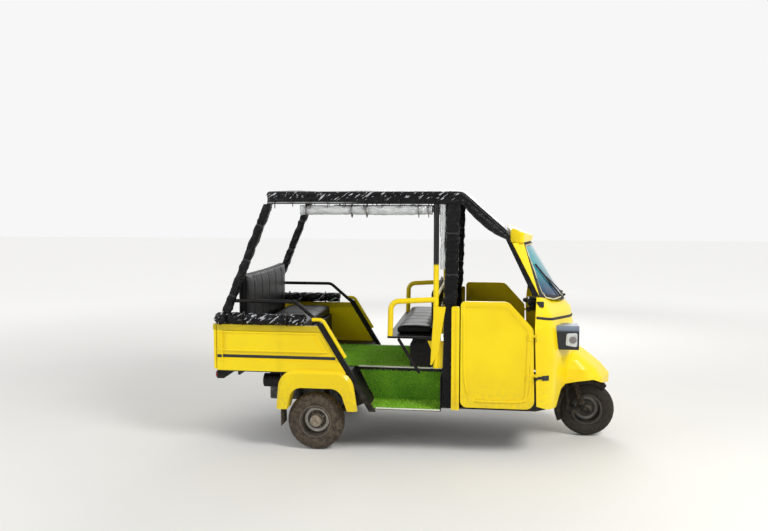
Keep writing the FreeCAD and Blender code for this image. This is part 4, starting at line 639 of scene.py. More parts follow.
def carried(path, ring, up=zAxis, size=1.0, closed=False):
    # a ring of (across, rise) offsets stands square to a path at each of its points; size may change on it
    path, ring = np.asarray(path, float), np.asarray(ring, float)
    ahead = np.roll(path, -1, 0) - np.roll(path, 1, 0) if closed else np.gradient(path, axis=0)
    ahead /= np.linalg.norm(ahead, axis=1, keepdims=True)
    across = np.cross(np.asarray(up, float), ahead)
    across /= np.linalg.norm(across, axis=1, keepdims=True)
    rise = np.cross(ahead, across)
    scale = (np.ones(len(path)) * size)[:, None, None]
    return path[:, None] + scale * (ring[None, :, :1] * across[:, None] + ring[None, :, 1:] * rise[:, None])


def circle(radius, count):
    return radius * spread(np.cos(around(count)), np.sin(around(count)))


def slab(width, height, softness, count):
    # a ring with flat sides and round corners: the power curve |a|^n + |b|^n = 1
    bend = lambda part: np.sign(part) * np.abs(part) ** (2 / softness)
    return spread(width / 2 * bend(np.cos(around(count))), height / 2 * bend(np.sin(around(count))))


def eased(corners, count):
    # a path through corner points whose speed and bend stay smooth: one cubic between neighbours
    corners = np.asarray(corners, float)
    ends = np.vstack([2 * corners[:1] - corners[1:2], corners, 2 * corners[-1:] - corners[-2:-1]])
    share = np.linspace(0, len(corners) - 1, count)
    leg = np.minimum(share.astype(int), len(corners) - 2)
    t = (share - leg)[:, None]
    a, b, c, d = ends[leg], ends[leg + 1], ends[leg + 2], ends[leg + 3]
    bend, twist = 2 * a - 5 * b + 4 * c - d, 3 * b - a - 3 * c + d
    return 0.5 * (2 * b + (c - a) * t + bend * t ** 2 + twist * t ** 3)


def roundedPlan(corners, radii, perCorner, perSide):
    # closed outline through corners, each rounded by its own arc; sides are divided evenly
    corners = np.asarray(corners, float)
    before, after = np.roll(corners, 1, 0), np.roll(corners, -1, 0)
    toBefore = (before - corners) / np.linalg.norm(before - corners, axis=1, keepdims=True)
    toAfter = (after - corners) / np.linalg.norm(after - corners, axis=1, keepdims=True)
    half = np.arccos(np.clip((toBefore * toAfter).sum(1, keepdims=True), -1, 1)) / 2
    reach = np.broadcast_to(radii, len(corners))[:, None] / np.tan(half)
    start, end = (corners + toBefore * reach)[:, None], (corners + toAfter * reach)[:, None]
    t = np.linspace(0, 1, perCorner)[None, :, None]
    arc = (1 - t) ** 2 * start + 2 * t * (1 - t) * corners[:, None] + t ** 2 * end
    side = np.linspace(0, 1, perSide, endpoint=False)[None, 1:, None]
    run = end * (1 - side) + np.roll(start, -1, 0) * side
    return np.concatenate([arc, run], axis=1).reshape(-1, corners.shape[1])


def rectangle(half, corner, perCorner, perSide):
    # rounded outline about the middle, from half its width and height
    signs = np.array([(-1, -1), (1, -1), (1, 1), (-1, 1)])
    return roundedPlan(signs * half, corner, perCorner, perSide)


def together(*parts):
    # several (points, faces) shapes as one
    points, faces, start = [], [], 0
    for spots, groups in parts:
        points.append(spots)
        faces += [group + start for group in (groups if isinstance(groups, list) else [groups])]
        start += len(spots)
    return np.vstack(points), faces


def put(name, shape, slot, body="body", finish=None, closed=True, crease=None):
    # a finished piece from (points, faces): doubles merged, faces outward, finish on, riding on its body
    points, groups = shape
    mesh = bpy.data.meshes.new(name)
    faces = [face for group in (groups if isinstance(groups, list) else [groups]) for face in group.tolist()]
    mesh.from_pydata(points.tolist(), [], faces)
    work = bmesh.new()
    work.from_mesh(mesh)
    bmesh.ops.remove_doubles(work, verts=work.verts, dist=1e-6)
    bmesh.ops.dissolve_degenerate(work, edges=work.edges, dist=1e-7)
    if closed:
        bmesh.ops.recalc_face_normals(work, faces=work.faces)
    work.to_mesh(mesh)
    work.free()
    mesh.shade_smooth()
    if crease:
        mesh.set_sharp_from_angle(angle=math.radians(crease))
    mesh.materials.append(finish or finishes[slot])
    piece = bpy.data.objects.new(name, mesh)
    scene.collection.objects.link(piece)
    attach(piece, body)
    return piece


sides = {"Right": -1, "Left": 1}


def onBothSides(*rows):
    # pieces shaped for the right side, and mirrored for the left; braces in a body's name take the side
    for label, side in sides.items():
        for name, (points, faces), slot, body, finish in rows:
            put(name + label, (points * [1.0, -side, 1.0], faces), slot, body.format(label.lower()), finish)


def thickened(piece, thick, offset=0.0):
    # gives a sheet its wall
    wall = piece.modifiers.new("wall", "SOLIDIFY")
    wall.thickness = thick
    wall.offset = offset
    return piece


def settled(piece):
    # works the piece's modifiers into its mesh
    shown = piece.evaluated_get(bpy.context.evaluated_depsgraph_get())
    mesh = bpy.data.meshes.new_from_object(shown)
    piece.modifiers.clear()
    piece.data = mesh


def spotsOf(piece):
    spots = np.empty(len(piece.data.vertices) * 3)
    piece.data.vertices.foreach_get("co", spots)
    return spots.reshape(-1, 3)


def moved(piece, spots):
    piece.data.vertices.foreach_set("co", spots.ravel())
    piece.data.update()


# vinyl roof; what ripples is (depth, size, seed)
roof = {"rear": -1.055, "knee": 0.325, "front": 0.651, "half": 0.620, "frontHalf": 0.545, "top": 1.833,
        "frontTop": 1.542, "low": 1.745, "frontLow": 1.494, "rise": 0.015, "sag": 0.010,
        "bows": (-1.03, -0.365, 0.265, 0.651), "corners": (0.045, 0.02, 0.04, 0.04, 0.02, 0.045),
        "edge": 0.026, "hem": 0.005, "hemPlace": 0.93, "hemWidth": 0.07, "bag": 0.040, "bulge": 0.010,
        "ease": 0.06, "inset": 0.006, "wall": 0.0025, "middle": (-0.25, 0.0), "rings": 40, "bandRows": 16,
        "uneven": (0.0022, 0.16, 3), "pucker": (0.0032, 0.085, 11), "fine": (0.0016, 0.035, 12)}


def alongRoof(x, back, front):
    # level that keeps its rear value to the knee and falls in a line to its front value, eased round the
    # knee by the hyperbola (t + sqrt(t * t + w * w)) / 2
    share = (x - roof["knee"]) / (roof["front"] - roof["knee"])
    share = np.clip((share + np.sqrt(share ** 2 + roof["ease"] ** 2)) / 2, 0, 1)
    return back + (front - back) * share


def roofSkin():
    # closed rings of the plan outline: shrunk towards the middle they make the top, which is the edge level
    # plus a crown across and minus a sag between bows; then a quarter round, and beyond it they hang as the
    # band, with puckers, a hem, and a bag at the slanted part
    corners = [(roof["rear"], roof["half"]), (roof["knee"], roof["half"]),
               (roof["front"], roof["frontHalf"])]
    plan = roundedPlan([(x, -y) for x, y in corners] + corners[::-1], roof["corners"], 10, 46)
    middle = np.array(roof["middle"])
    outward = (plan - middle) / np.linalg.norm(plan - middle, axis=1, keepdims=True)
    rimPlan = plan - outward * roof["edge"]
    shrink = np.linspace(0.02, 1, roof["rings"])[:, None] ** 0.8
    x, y = np.moveaxis(middle + shrink[..., None] * (rimPlan - middle), -1, 0)
    aside = np.abs(y) / alongRoof(x, roof["half"], roof["frontHalf"])
    bay = np.interp(x, roof["bows"], range(len(roof["bows"]))) % 1
    sag = roof["sag"] * np.sin(np.pi * bay) ** 2 * (1 - aside ** 4)
    level = alongRoof(x, roof["top"], roof["frontTop"]) + roof["rise"] * np.clip(1 - aside, 0, 1) - sag
    top = spread(x, y, level)
    top[..., 2] += ripple(top * [1.0, 1.0, 0.2], roof["uneven"]) * (1 - shrink ** 8)
    turn = np.linspace(0, math.pi / 2, 7)[1:, None]
    x, y = plan.T
    edgeLevel = alongRoof(x, roof["top"], roof["frontTop"])
    rimX, rimY = np.moveaxis(rimPlan + outward * roof["edge"] * np.sin(turn)[..., None], -1, 0)
    rim = spread(rimX, rimY, edgeLevel - roof["edge"] * (1 - np.cos(turn)))
    drop = np.linspace(0, 1, roof["bandRows"])[1:, None]
    slope = np.clip((x - roof["knee"]) / (roof["front"] - roof["knee"]), 0, 1)
    bandTop = edgeLevel - roof["edge"]
    bandLow = alongRoof(x, roof["low"], roof["frontLow"]) - roof["bag"] * np.sin(np.pi * slope) ** 0.9
    band = spread(x, y, bandTop + (bandLow - bandTop) * drop)
    proud = ripple(band * [1.0, 1.0, 0.35], roof["pucker"]) * drop + ripple(band, roof["fine"])
    proud += roof["hem"] * bell(drop, roof["hemPlace"], roof["hemWidth"]) - roof["inset"]
    proud += roof["bulge"] * np.sin(np.pi * slope) * np.sin(np.pi * drop) ** 2
    band[..., :2] += outward * proud[..., None]
    return np.concatenate([top, rim, band])


skin = roofSkin()
rows, columns = skin.shape[:2]
skinPoints = np.vstack([skin.reshape(-1, 3), skin[0].mean(axis=0)])
skinFaces = [quads(rows, columns), fan(rows * columns, np.arange(columns))]
roofPiece = put("roofVinylCover", (skinPoints, skinFaces), "roof_vinyl")
thickened(roofPiece, roof["wall"], -1.0)
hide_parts("roof_cover")
print("roof cover made")

# rolled vinyl on the box sides; a strap is (radius, width, thickness), an end row (size, step inward)
boxRoll = {"rear": -1.325, "front": -0.775, "across": 0.634, "level": 0.934, "radius": 0.0375, "turns": 72,
           "stations": 150, "folds": 5, "foldTwist": 46, "fold": 0.00176, "lap": 0.0045, "lapSway": 0.16,
           "bend": 0.0024, "straps": (-1.22, -0.90), "pinch": 0.006, "pinchWidth": 0.020,
           "strap": (0.0375, 0.026, 0.0022), "ends": ((0.55, 0.006), (0.72, 0.001), (0.9, -0.001)),
           "drift": (1.6, 0.12, 21), "fine": (0.0016, 0.030, 31), "ragged": (0.004, 0.05, 41)}


def rolledVinyl(side):
    # a tube whose radius takes diagonal folds, a lapped outer edge, fine creases and the straps' pinches;
    # its ends turn inward, and the front one is ragged
    turn = around(boxRoll["turns"])
    along = np.linspace(0, 1, boxRoll["stations"])[:, None]
    x = boxRoll["rear"] + (boxRoll["front"] - boxRoll["rear"]) * along
    tube = spread(x, 0.04 * np.cos(turn), 0.04 * np.sin(turn))
    twist = boxRoll["foldTwist"] * x + ripple(tube, boxRoll["drift"], side)
    diagonal = np.sin(boxRoll["folds"] * turn + twist)
    lap = (turn / (2 * math.pi) + boxRoll["lapSway"] * np.sin(9 * x)) % 1
    radius = boxRoll["radius"] + boxRoll["fold"] * diagonal + boxRoll["lap"] * lap
    radius += ripple(tube * [0.6, 1.0, 1.0], boxRoll["fine"], side)
    for strap in boxRoll["straps"]:
        radius -= boxRoll["pinch"] * bell(x, strap, boxRoll["pinchWidth"])
    ragged = ripple(tube, boxRoll["ragged"]) * np.clip(2 * along - 1, 0, 1)
    grid = spread(x + ragged, side * (boxRoll["across"] + radius * np.cos(turn)),
                  boxRoll["level"] + boxRoll["bend"] * np.sin(7 * x + side) + radius * np.sin(turn))
    inner = grid.mean(axis=1, keepdims=True)
    rear, front = [np.array([inner[row] + (grid[row] - inner[row]) * size + [way * step, 0, 0]
                             for size, step in boxRoll["ends"]]) for row, way in ((0, 1), (-1, -1))]
    return capped(np.concatenate([rear, grid, front[::-1]]))


def bandsRound(places, across, level, rule):
    # flat straps laid once round a roll
    radius, width, thick = rule
    turn = around(40)
    band = slab(width, thick, 3.0, 12)
    paths = [spread(x, across + radius * np.cos(turn), level + radius * np.sin(turn)) for x in places]
    return together(*[looped(carried(path, band, xAxis, closed=True)) for path in paths])


for label, side in sides.items():
    roll = put("boxRoll" + label, rolledVinyl(side), "roof_vinyl")
    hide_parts("box_rolls")
    straps = bandsRound(boxRoll["straps"], side * boxRoll["across"], boxRoll["level"], boxRoll["strap"])
    put("boxRollStraps" + label, straps, "flap_rubber")
print("box rolls made")

# clear curtains rolled under the roof's edge, and the bundles that hang beside the centre posts
curtain = {"rear": -0.805, "front": 0.115, "across": 0.590, "level": 1.7007, "strapLevel": 1.7012,
           "inner": 0.012, "growth": 0.0265, "wraps": 2.6, "wave": 0.002, "wall": 0.0011, "pinch": 0.10,
           "pinchWidth": 0.018, "straps": (-0.760, -0.441, -0.336, 0.024, 0.092),
           "strap": (0.0405, 0.022, 0.002), "waver": (0.0016, 0.05, 51), "ragged": (0.003, 0.08, 52)}
bundle = {"x": 0.189, "across": 0.600, "low": 1.300, "high": 1.7447, "radius": 0.0165, "drawn": 0.006,
          "waist": 1.480, "waistReach": 0.055, "folds": 7, "fold": 0.0034, "foldDrawn": 0.0022, "sway": 2.4,
          "raggedBelow": 1.33, "fine": (0.0012, 0.03, 61), "ragged": (0.004, 0.025, 62)}


def curtainSpiral(side):
    # one sheet wound on itself: the radius grows with the angle, and both waver along the roll
    turn = np.linspace(0, 2 * math.pi * curtain["wraps"], 120)
    x = np.linspace(curtain["rear"], curtain["front"], 90)[:, None]
    tube = spread(x, 0.03 * np.cos(turn), 0.03 * np.sin(turn))
    uneven = ripple(tube, curtain["waver"]) + curtain["wave"] * np.sin(9 * x + 2 * turn)
    radius = curtain["inner"] + (curtain["growth"] + uneven) * turn / turn[-1]
    for strap in curtain["straps"]:
        radius *= 1 - curtain["pinch"] * bell(x, strap, curtain["pinchWidth"])
    return spread(x + ripple(tube, curtain["ragged"]), side * (curtain["across"] + radius * np.cos(turn)),
                  curtain["level"] + radius * np.sin(turn))


def gatheredCurtain(side):
    # a hanging tube of folds: lobes round it grow deeper where it is loose and close at the tied waist
    turn = around(84)
    z = np.linspace(bundle["low"], bundle["high"], 90)[:, None]
    tied = bell(z, bundle["waist"], bundle["waistReach"])
    tube = spread(0.02 * np.cos(turn), 0.02 * np.sin(turn), z)
    lobes = np.sin(bundle["folds"] * turn + bundle["sway"] * np.sin(7 * z + side))
    radius = bundle["radius"] - bundle["drawn"] * tied + ripple(tube, bundle["fine"])
    radius += lobes * (bundle["fold"] - bundle["foldDrawn"] * tied)
    ragged = ripple(tube, bundle["ragged"]) * (z < bundle["raggedBelow"])
    return capped(spread(bundle["x"] + radius * np.cos(turn),
                         side * (bundle["across"] + radius * np.sin(turn)), z + ragged))


for label, side in sides.items():
    spiral = curtainSpiral(side)
    roll = put("curtainRoll" + label, (spiral.reshape(-1, 3), quads(*spiral.shape[:2], False, False)),
               "curtain_clear", closed=False)
    thickened(roll, curtain["wall"])
    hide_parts("side_curtains")
    hang = put("curtainBundle" + label, gatheredCurtain(side), "curtain_clear")
    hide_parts("side_curtains")
    straps = bandsRound(curtain["straps"], side * curtain["across"], curtain["strapLevel"], curtain["strap"])
    put("curtainStraps" + label, straps, "flap_rubber")
print("curtains made")

# seat cushions: the axis that is up for them, how far they crown, and how many channels are sewn across
cushions = {
    "jumpSeatPad": {"node": "jump_seat_cushions", "low": (-0.145, -0.535, 0.829),
                    "high": (0.122, 0.535, 0.891), "up": 2, "crown": 0.010, "channels": 6},
    "jumpSeatBack": {"node": "jump_seat_cushions", "low": (0.1087, -0.535, 0.905),
                     "high": (0.1327, 0.535, 1.150), "up": 0, "crown": -0.004, "channels": 6},
    "rearSeatPad": {"node": "rear_seat_cushions", "low": (-1.220, -0.560, 0.800),
                    "high": (-0.830, 0.560, 0.885), "up": 2, "crown": 0.014, "channels": 5},
    "rearSeatBack": {"node": "rear_seat_cushions", "low": (-1.290, -0.560, 0.800),
                     "high": (-1.220, 0.560, 1.250), "up": 0, "crown": 0.010, "channels": 5},
    "driverSeatPad": {"node": "driver_seat_cushions", "low": (0.254, -0.400, 0.690),
                      "high": (0.520, 0.400, 0.770), "up": 2, "crown": 0.012, "channels": 4},
    "driverSeatBack": {"node": "driver_seat_cushions", "low": (0.212, -0.400, 0.690),
                       "high": (0.254, 0.400, 1.110), "up": 0, "crown": 0.008, "channels": 4}}
pad = {"corner": 0.035, "pull": 0.006, "round": 0.018, "startIn": 0.004, "voxel": 0.010, "frames": 20,
       "cap": 0.009, "pastLow": 0.003, "pastHigh": 0.004, "channelDepth": 0.0045, "channelWidth": 0.007,
       "piping": 0.0042, "pipingIn": 0.003, "seamDrop": 0.018, "thinSeamDrop": 0.014, "thin": 0.03}
coverCloth = {"quality": 5, "mass": 0.3, "tension_stiffness": 25, "compression_stiffness": 15,
              "bending_stiffness": 1.2, "use_pressure": True, "uniform_pressure_force": 4.0}


def padPlan(cushion, inset):
    # outline of a cushion on its own two long axes: rounded corners, sides drawn in between them
    low, high = np.array(cushion["low"]), np.array(cushion["high"])
    flat = [axis for axis in range(3) if axis != cushion["up"]]
    centre, half = (low + high)[flat] / 2, (high - low)[flat] / 2 - inset
    plan = rectangle(half, pad["corner"], 9, 40)
    share = plan / half
    plan = plan - np.sign(plan) * pad["pull"] * (1 - share[:, ::-1] ** 2) * (np.abs(share) > 0.9)
    return flat, centre, half, plan


def padForm(cushion):
    # rings of the outline shrunk towards the middle on both faces, joined over a round edge; the upper
    # face stands up by a crown that falls to nothing at the seams
    flat, centre, half, plan = padPlan(cushion, pad["startIn"])
    up = cushion["up"]
    low, high = cushion["low"][up] + pad["startIn"], cushion["high"][up] - pad["startIn"]
    edge = min(pad["round"], (high - low) / 2.4)
    outward = plan / np.linalg.norm(plan, axis=1, keepdims=True)
    face = (plan - outward * edge) * np.linspace(0.03, 1, 26)[:, None, None] ** 0.85
    turn = np.linspace(0, math.pi / 2, 6)[1:, None]
    rim = plan - outward * edge * (1 - np.sin(turn)[..., None])
    crown = cushion["crown"] * np.prod(1 - np.clip(face / half, -1, 1) ** 4, axis=-1)
    fall = np.broadcast_to(edge * (1 - np.cos(turn)), rim.shape[:2])
    seam = high - max(cushion["crown"], 0)
    upper = np.concatenate([seam + crown, seam - fall])
    lower = np.concatenate([np.full(crown.shape, low), low + fall])
    places = np.concatenate([face, rim, rim[::-1], face[::-1]])
    grid = np.empty((*places.shape[:2], 3))
    grid[..., flat] = places + centre
    grid[..., up] = np.concatenate([upper, lower[::-1]])
    return capped(grid)


def puffed(piece, cushion):
    # the cover is blown up a little from inside; no point moves further than the cap, or out of its seat
    bpy.context.view_layer.objects.active = piece
    voxels = piece.modifiers.new("voxels", "REMESH")
    voxels.mode = "VOXEL"
    voxels.voxel_size = pad["voxel"]
    settled(piece)
    before = spotsOf(piece)
    cloth = piece.modifiers.new("swell", "CLOTH")
    for label, setting in coverCloth.items():
        setattr(cloth.settings, label, setting)
    cloth.settings.effector_weights.gravity = 0
    cloth.collision_settings.use_collision = False
    cloth.point_cache.frame_start, cloth.point_cache.frame_end = 1, pad["frames"]
    for step in range(1, pad["frames"] + 1):
        scene.frame_set(step)
    settled(piece)
    scene.frame_set(1)
    move = spotsOf(piece) - before
    reach = np.linalg.norm(move, axis=1, keepdims=True)
    after = before + move * np.minimum(1, pad["cap"] / np.maximum(reach, 1e-9))
    low, high = np.array(cushion["low"]) - pad["pastLow"], np.array(cushion["high"]) + pad["pastHigh"]
    moved(piece, np.clip(after, low, high))
    piece.data.shade_smooth()


def sewnChannels(piece, cushion):
    # the upper face dips along lines across it, each a narrow bell-shaped groove
    spots = spotsOf(piece)
    up, low, high = cushion["up"], cushion["low"], cushion["high"]
    lines = np.linspace(low[1], high[1], cushion["channels"] + 2)[1:-1]
    dip = bell(spots[:, 1:2], lines, pad["channelWidth"]).sum(axis=1)
    share = np.clip((spots[:, up] - (low[up] + high[up]) / 2) / (high[up] - low[up]) * 2, 0, 1)
    spots[:, up] -= pad["channelDepth"] * dip * share ** 0.5
    moved(piece, spots)


def piping(piece, cushion):
    # a round cord of vinyl along the upper seam, laid on the swollen cover
    flat, centre, half, plan = padPlan(cushion, pad["pipingIn"])
    up = cushion["up"]
    thin = cushion["high"][up] - cushion["low"][up] < pad["thin"]
    tree = BVHTree.FromObject(piece, bpy.context.evaluated_depsgraph_get())
    path = np.empty((len(plan), 3))
    path[:, flat] = plan + centre
    path[:, up] = cushion["high"][up] - pad["thinSeamDrop" if thin else "seamDrop"]
    path = np.array([tree.find_nearest(Vector(spot))[0] for spot in path[::2]])
    return looped(carried(path, circle(pad["piping"], 8), np.eye(3)[up], closed=True))


for label, cushion in cushions.items():
    piece = put(label, padForm(cushion), "seat_vinyl")
    puffed(piece, cushion)
    sewnChannels(piece, cushion)
    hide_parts(cushion["node"])
    put(label + "Piping", piping(piece, cushion), "seat_vinyl")
    print("cushion made:", label)

# tyres: section from bead to crown as (across, radius); beads are (share of the width, radius, width)
tyre = {"section": [(0.038, 0.103), (0.0405, 0.116), (0.0455, 0.128), (0.0494, 0.148), (0.0478, 0.170),
                    (0.0438, 0.186), (0.036, 0.1955), (0.024, 0.2012), (0.012, 0.2040), (0.0, 0.2050)],
        "around": 300, "across": 60, "depth": 0.0055, "lugs": 34, "zigzag": 0.0022,
        "grooves": (-0.0125, 0.0125), "grooveWidth": 0.0022, "slotLean": 90, "shoulder": (0.0185, 0.0215),
        "tread": (0.1815, 0.1875), "beads": ((0.022, 0.140, 0.0018), (0.018, 0.160, 0.0012))}


def ramp(at, limits):
    # 0 below the first limit, 1 above the second, straight between
    return np.clip((at - limits[0]) / (limits[1] - limits[0]), 0, 1)


def treadTyre(wheel):
    # the section is turned round the axle; the crown sinks where zigzag grooves or shoulder slots run
    half = np.array(tyre["section"])
    across, radius = eased(np.vstack([half, half[-2::-1] * [-1, 1]]), tyre["across"]).T
    turn = around(tyre["around"])[:, None] + wheel["turned"]
    zigzag = tyre["zigzag"] * (2 / math.pi) * np.arcsin(np.sin(tyre["lugs"] * turn))
    grooves = sum(bell(across, place + zigzag, tyre["grooveWidth"]) for place in tyre["grooves"])
    slots = np.clip(np.sin(tyre["lugs"] * turn + tyre["slotLean"] * np.abs(across)) * 3 - 1.6, 0, 1)
    cut = np.clip(grooves + slots * ramp(np.abs(across), tyre["shoulder"]), 0, 1)
    reach = radius - tyre["depth"] * cut * ramp(radius, tyre["tread"])
    wide = across * (1 + sum(share * bell(radius, place, width) for share, place, width in tyre["beads"]))
    x, y, z = wheel["centre"]
    return looped(spread(x + reach * np.cos(turn), y + wide, z + reach * np.sin(turn)))


for label, wheel in wheels.items():
    rubber = ofNode.get(wheel["tyre"])
    piece = put("tyre" + label, treadTyre(wheel), "tyre", wheel["body"], rubber, crease=50)
    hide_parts(wheel["tyre"])
print("tyres made")

# green mat blades
grass = {"count": 56000, "length": 0.013, "width": 0.0022, "lean": 0.45, "lengths": (0.6, 1.1),
         "steepest": -0.2, "seed": 5}


def grassBlades():
    # three-cornered blades stand at seeded spots, spread by area over the mats' upward faces and risers;
    # each is turned at random and leans a little
    node = frame["nodes"]["floor_mats"]
    node.data.calc_loop_triangles()
    corners = np.empty(len(node.data.loop_triangles) * 3, dtype=int)
    node.data.loop_triangles.foreach_get("vertices", corners)
    spots = spotsOf(node)[corners.reshape(-1, 3)]
    normal = np.cross(spots[:, 1] - spots[:, 0], spots[:, 2] - spots[:, 0])
    area = np.linalg.norm(normal, axis=1)
    normal = normal / np.maximum(area, 1e-12)[:, None]
    weight = area * (normal[:, 2] > grass["steepest"])
    draw = np.random.default_rng(grass["seed"])
    pick = draw.choice(len(area), grass["count"], p=weight / weight.sum())
    a, b = draw.random((2, grass["count"], 1))
    a, b = np.where(a + b > 1, 1 - a, a), np.where(a + b > 1, 1 - b, b)
    foot = spots[pick, 0] + a * (spots[pick, 1] - spots[pick, 0]) + b * (spots[pick, 2] - spots[pick, 0])
    turn = draw.uniform(0, 2 * math.pi, grass["count"])
    up = normal[pick]
    side = np.cross(up, spread(np.cos(turn), np.sin(turn), 0.37))
    side *= grass["width"] / 2 / np.linalg.norm(side, axis=1, keepdims=True)
    lean = draw.normal(0, grass["lean"], (grass["count"], 3)) * (1 - np.abs(up)) + up
    tip = foot + lean * grass["length"] * draw.uniform(*grass["lengths"], (grass["count"], 1))
    points = np.stack([foot - side, foot + side, tip], axis=1).reshape(-1, 3)
    return points, np.arange(grass["count"] * 3).reshape(-1, 3)


blades = put("matBlades", grassBlades(), "deck_grass", finish=bladeGreen(), closed=False)
blades.data.shade_flat()
print("mat blades made")


def castOn(labels, starts, heading):
    # where straight lines from the starting points first meet the named nodes; lines that miss are left out
    graph = bpy.context.evaluated_depsgraph_get()
    trees = [BVHTree.FromObject(frame["nodes"][label], graph) for label in labels]
    met = []
    for start in starts:
        hits = [tree.ray_cast(Vector(start), Vector(heading)) for tree in trees]
        hits = [(hit[3], tuple(hit[0])) for hit in hits if hit[0]]
        if hits:
            met.append(min(hits)[1])
    return np.array(met)


def sideLine(labels, points):
    # points (x, z) of the right side thrown square onto its surface
    return castOn(labels, [(x, -1.2, z) for x, z in points], yAxis)


def moulding(path, across, tall, up=zAxis, softness=3.0):
    # a soft-cornered section carried along a path, both ends closed
    return capped(carried(path, slab(across, tall, softness, 14), up))


def rod(start, end, radius, count=14, steps=8):
    # a round bar with slightly rounded ends
    share = np.array([0.0, 0.002, 0.01, *np.linspace(0.05, 0.95, steps), 0.99, 0.998, 1.0])
    size = np.array([0.5, 0.82, 1.0, *np.ones(steps), 1.0, 0.82, 0.5]) * radius
    run = np.asarray(end, float) - start
    up = yAxis if abs(run[1]) < 0.7 * np.linalg.norm(run) else zAxis
    return capped(carried(start + share[:, None] * run, circle(1.0, count), up, size))


def block(low, high, corner=0.006, edge=0.003):
    # an upright box with rounded corners in plan and softened upper and lower edges
    low, high = np.asarray(low, float), np.asarray(high, float)
    plan = rectangle((high - low)[:2] / 2, corner, 6, 4)
    turn = np.linspace(0, math.pi / 2, 5)
    inset = np.concatenate([edge * (1 - np.sin(turn)), edge * (1 - np.cos(turn))])[:, None, None]
    level = np.concatenate([low[2] + edge * (1 - np.cos(turn)), high[2] - edge * (1 - np.sin(turn))])
    x, y = np.moveaxis(plan * (1 - inset / np.abs(plan).max(axis=0)) + (high + low)[:2] / 2, -1, 0)
    return capped(spread(x, y, level[:, None]))


def turned(profile, centre, out, count=48):
    # a profile of (radius, reach outward) turned round an axle that lies across the vehicle
    radius, reach = np.asarray(profile, float).T[..., None]
    turn = around(count)
    x, y, z = centre
    return capped(spread(x + radius * np.cos(turn), y + out * reach, z + radius * np.sin(turn)))


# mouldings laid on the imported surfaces; corners are (x, z)
cowlTrim = {"ends": ((0.826, 0.979), (1.232, 0.912)), "steps": 110, "across": 0.007, "tall": 0.019}
# painted shadow: the black strip along the box side stands for the shade under its lower rib
boxLine = {"ends": ((-1.412, 0.664), (-0.555, 0.664)), "steps": 60, "across": 0.005, "tall": 0.022}
boxBead = {"corners": [(-1.398, 0.707), (-0.590, 0.707), (-0.668, 0.838), (-1.398, 0.838)], "round": 0.012,
           "across": 0.015, "tall": 0.011}
doorBead = {"corners": [(0.338, 1.052), (0.340, 0.86), (0.343, 0.64), (0.356, 0.50), (0.392, 0.408),
                        (0.50, 0.398), (0.62, 0.398), (0.716, 0.402), (0.772, 0.424), (0.792, 0.52),
                        (0.794, 0.66)], "steps": 120, "across": 0.015, "tall": 0.011}
trimPath = sideLine(("cowl_panel",), line(*cowlTrim["ends"], cowlTrim["steps"]))
shadeStripPath = sideLine(("box_sides",), line(*boxLine["ends"], boxLine["steps"]))
panelPath = sideLine(("box_sides",), roundedPlan(boxBead["corners"], boxBead["round"], 8, 40))
doorPath = sideLine(("door_right",), eased(doorBead["corners"], doorBead["steps"]))
print("trim points:", len(trimPath), "line points:", len(shadeStripPath), "bead points:", len(doorPath))
panelRing = slab(boxBead["across"], boxBead["tall"], 3.0, 12)
onBothSides(
    ("cowlTrim", moulding(trimPath, cowlTrim["across"], cowlTrim["tall"]), "screen_seal", "body", None),
    ("boxBead", looped(carried(panelPath, panelRing, yAxis, closed=True)), "body_yellow", "body", None),
    # a black strip laid as painted shadow under the box side's lower rib
    ("boxLine", moulding(shadeStripPath, boxLine["across"], boxLine["tall"]), "screen_seal", "body", None),
    ("doorBead", moulding(doorPath, doorBead["across"], doorBead["tall"], yAxis), "body_yellow", "door_{}",
     None))
print("mouldings made")

# screen bead and wipers; places are (y, z) as seen from in front
screen = {"corners": [(-0.476, 1.078), (0.476, 1.078), (0.408, 1.456), (-0.408, 1.456)], "round": 0.045,
          "bead": 0.0048, "proud": 0.0015}
wiper = {"foot": (-0.10, 1.072), "tip": (-0.315, 1.225), "blade": (-0.165, 0.2505), "held": 0.62,
         "steps": 24, "lift": (0.011, 0.0, 0.006), "bladeLift": 0.7, "arm": (0.006, 0.008),
         "edge": (0.007, 0.012),
         "spindle": ((-0.004, 0.0, 0.0), (0.020, 0.0, 0.010)), "spindleRadius": 0.009}


def onGlass(spots):
    # places (y, z) thrown from in front onto the glass and its frame
    starts = [(2.0, y, z) for y, z in spots]
    return castOn(("windscreen_glass", "windscreen_frame"), starts, (-1.0, 0.0, 0.0))


def wiperShape(sway):
    # an arm and a blade held just off the glass, and the spindle at the arm's foot
    foot, tip, along = [np.array(wiper[part]) * [sway, 1] for part in ("foot", "tip", "blade")]
    share = np.linspace(0, 1, wiper["steps"])[:, None]
    arm, edge = onGlass(foot + share * (tip - foot)), onGlass(tip + (share - wiper["held"]) * along)
    lift = np.array(wiper["lift"])
    return together(moulding(arm + lift, *wiper["arm"], xAxis),
                    moulding(edge + lift * wiper["bladeLift"], *wiper["edge"], xAxis),
                    rod(*(arm[0] + wiper["spindle"]), wiper["spindleRadius"]))


beadPath = onGlass(roundedPlan(screen["corners"], screen["round"], 12, 40)) + [screen["proud"], 0.0, 0.0]
beadShape = looped(carried(beadPath, circle(screen["bead"], 10), xAxis, closed=True))
put("screenBead", beadShape, "trim_white", finish=creamBead())
for label, side in sides.items():
    put("wiper" + label, wiperShape(-side), "lamp_black")
print("screen bead and wipers made")

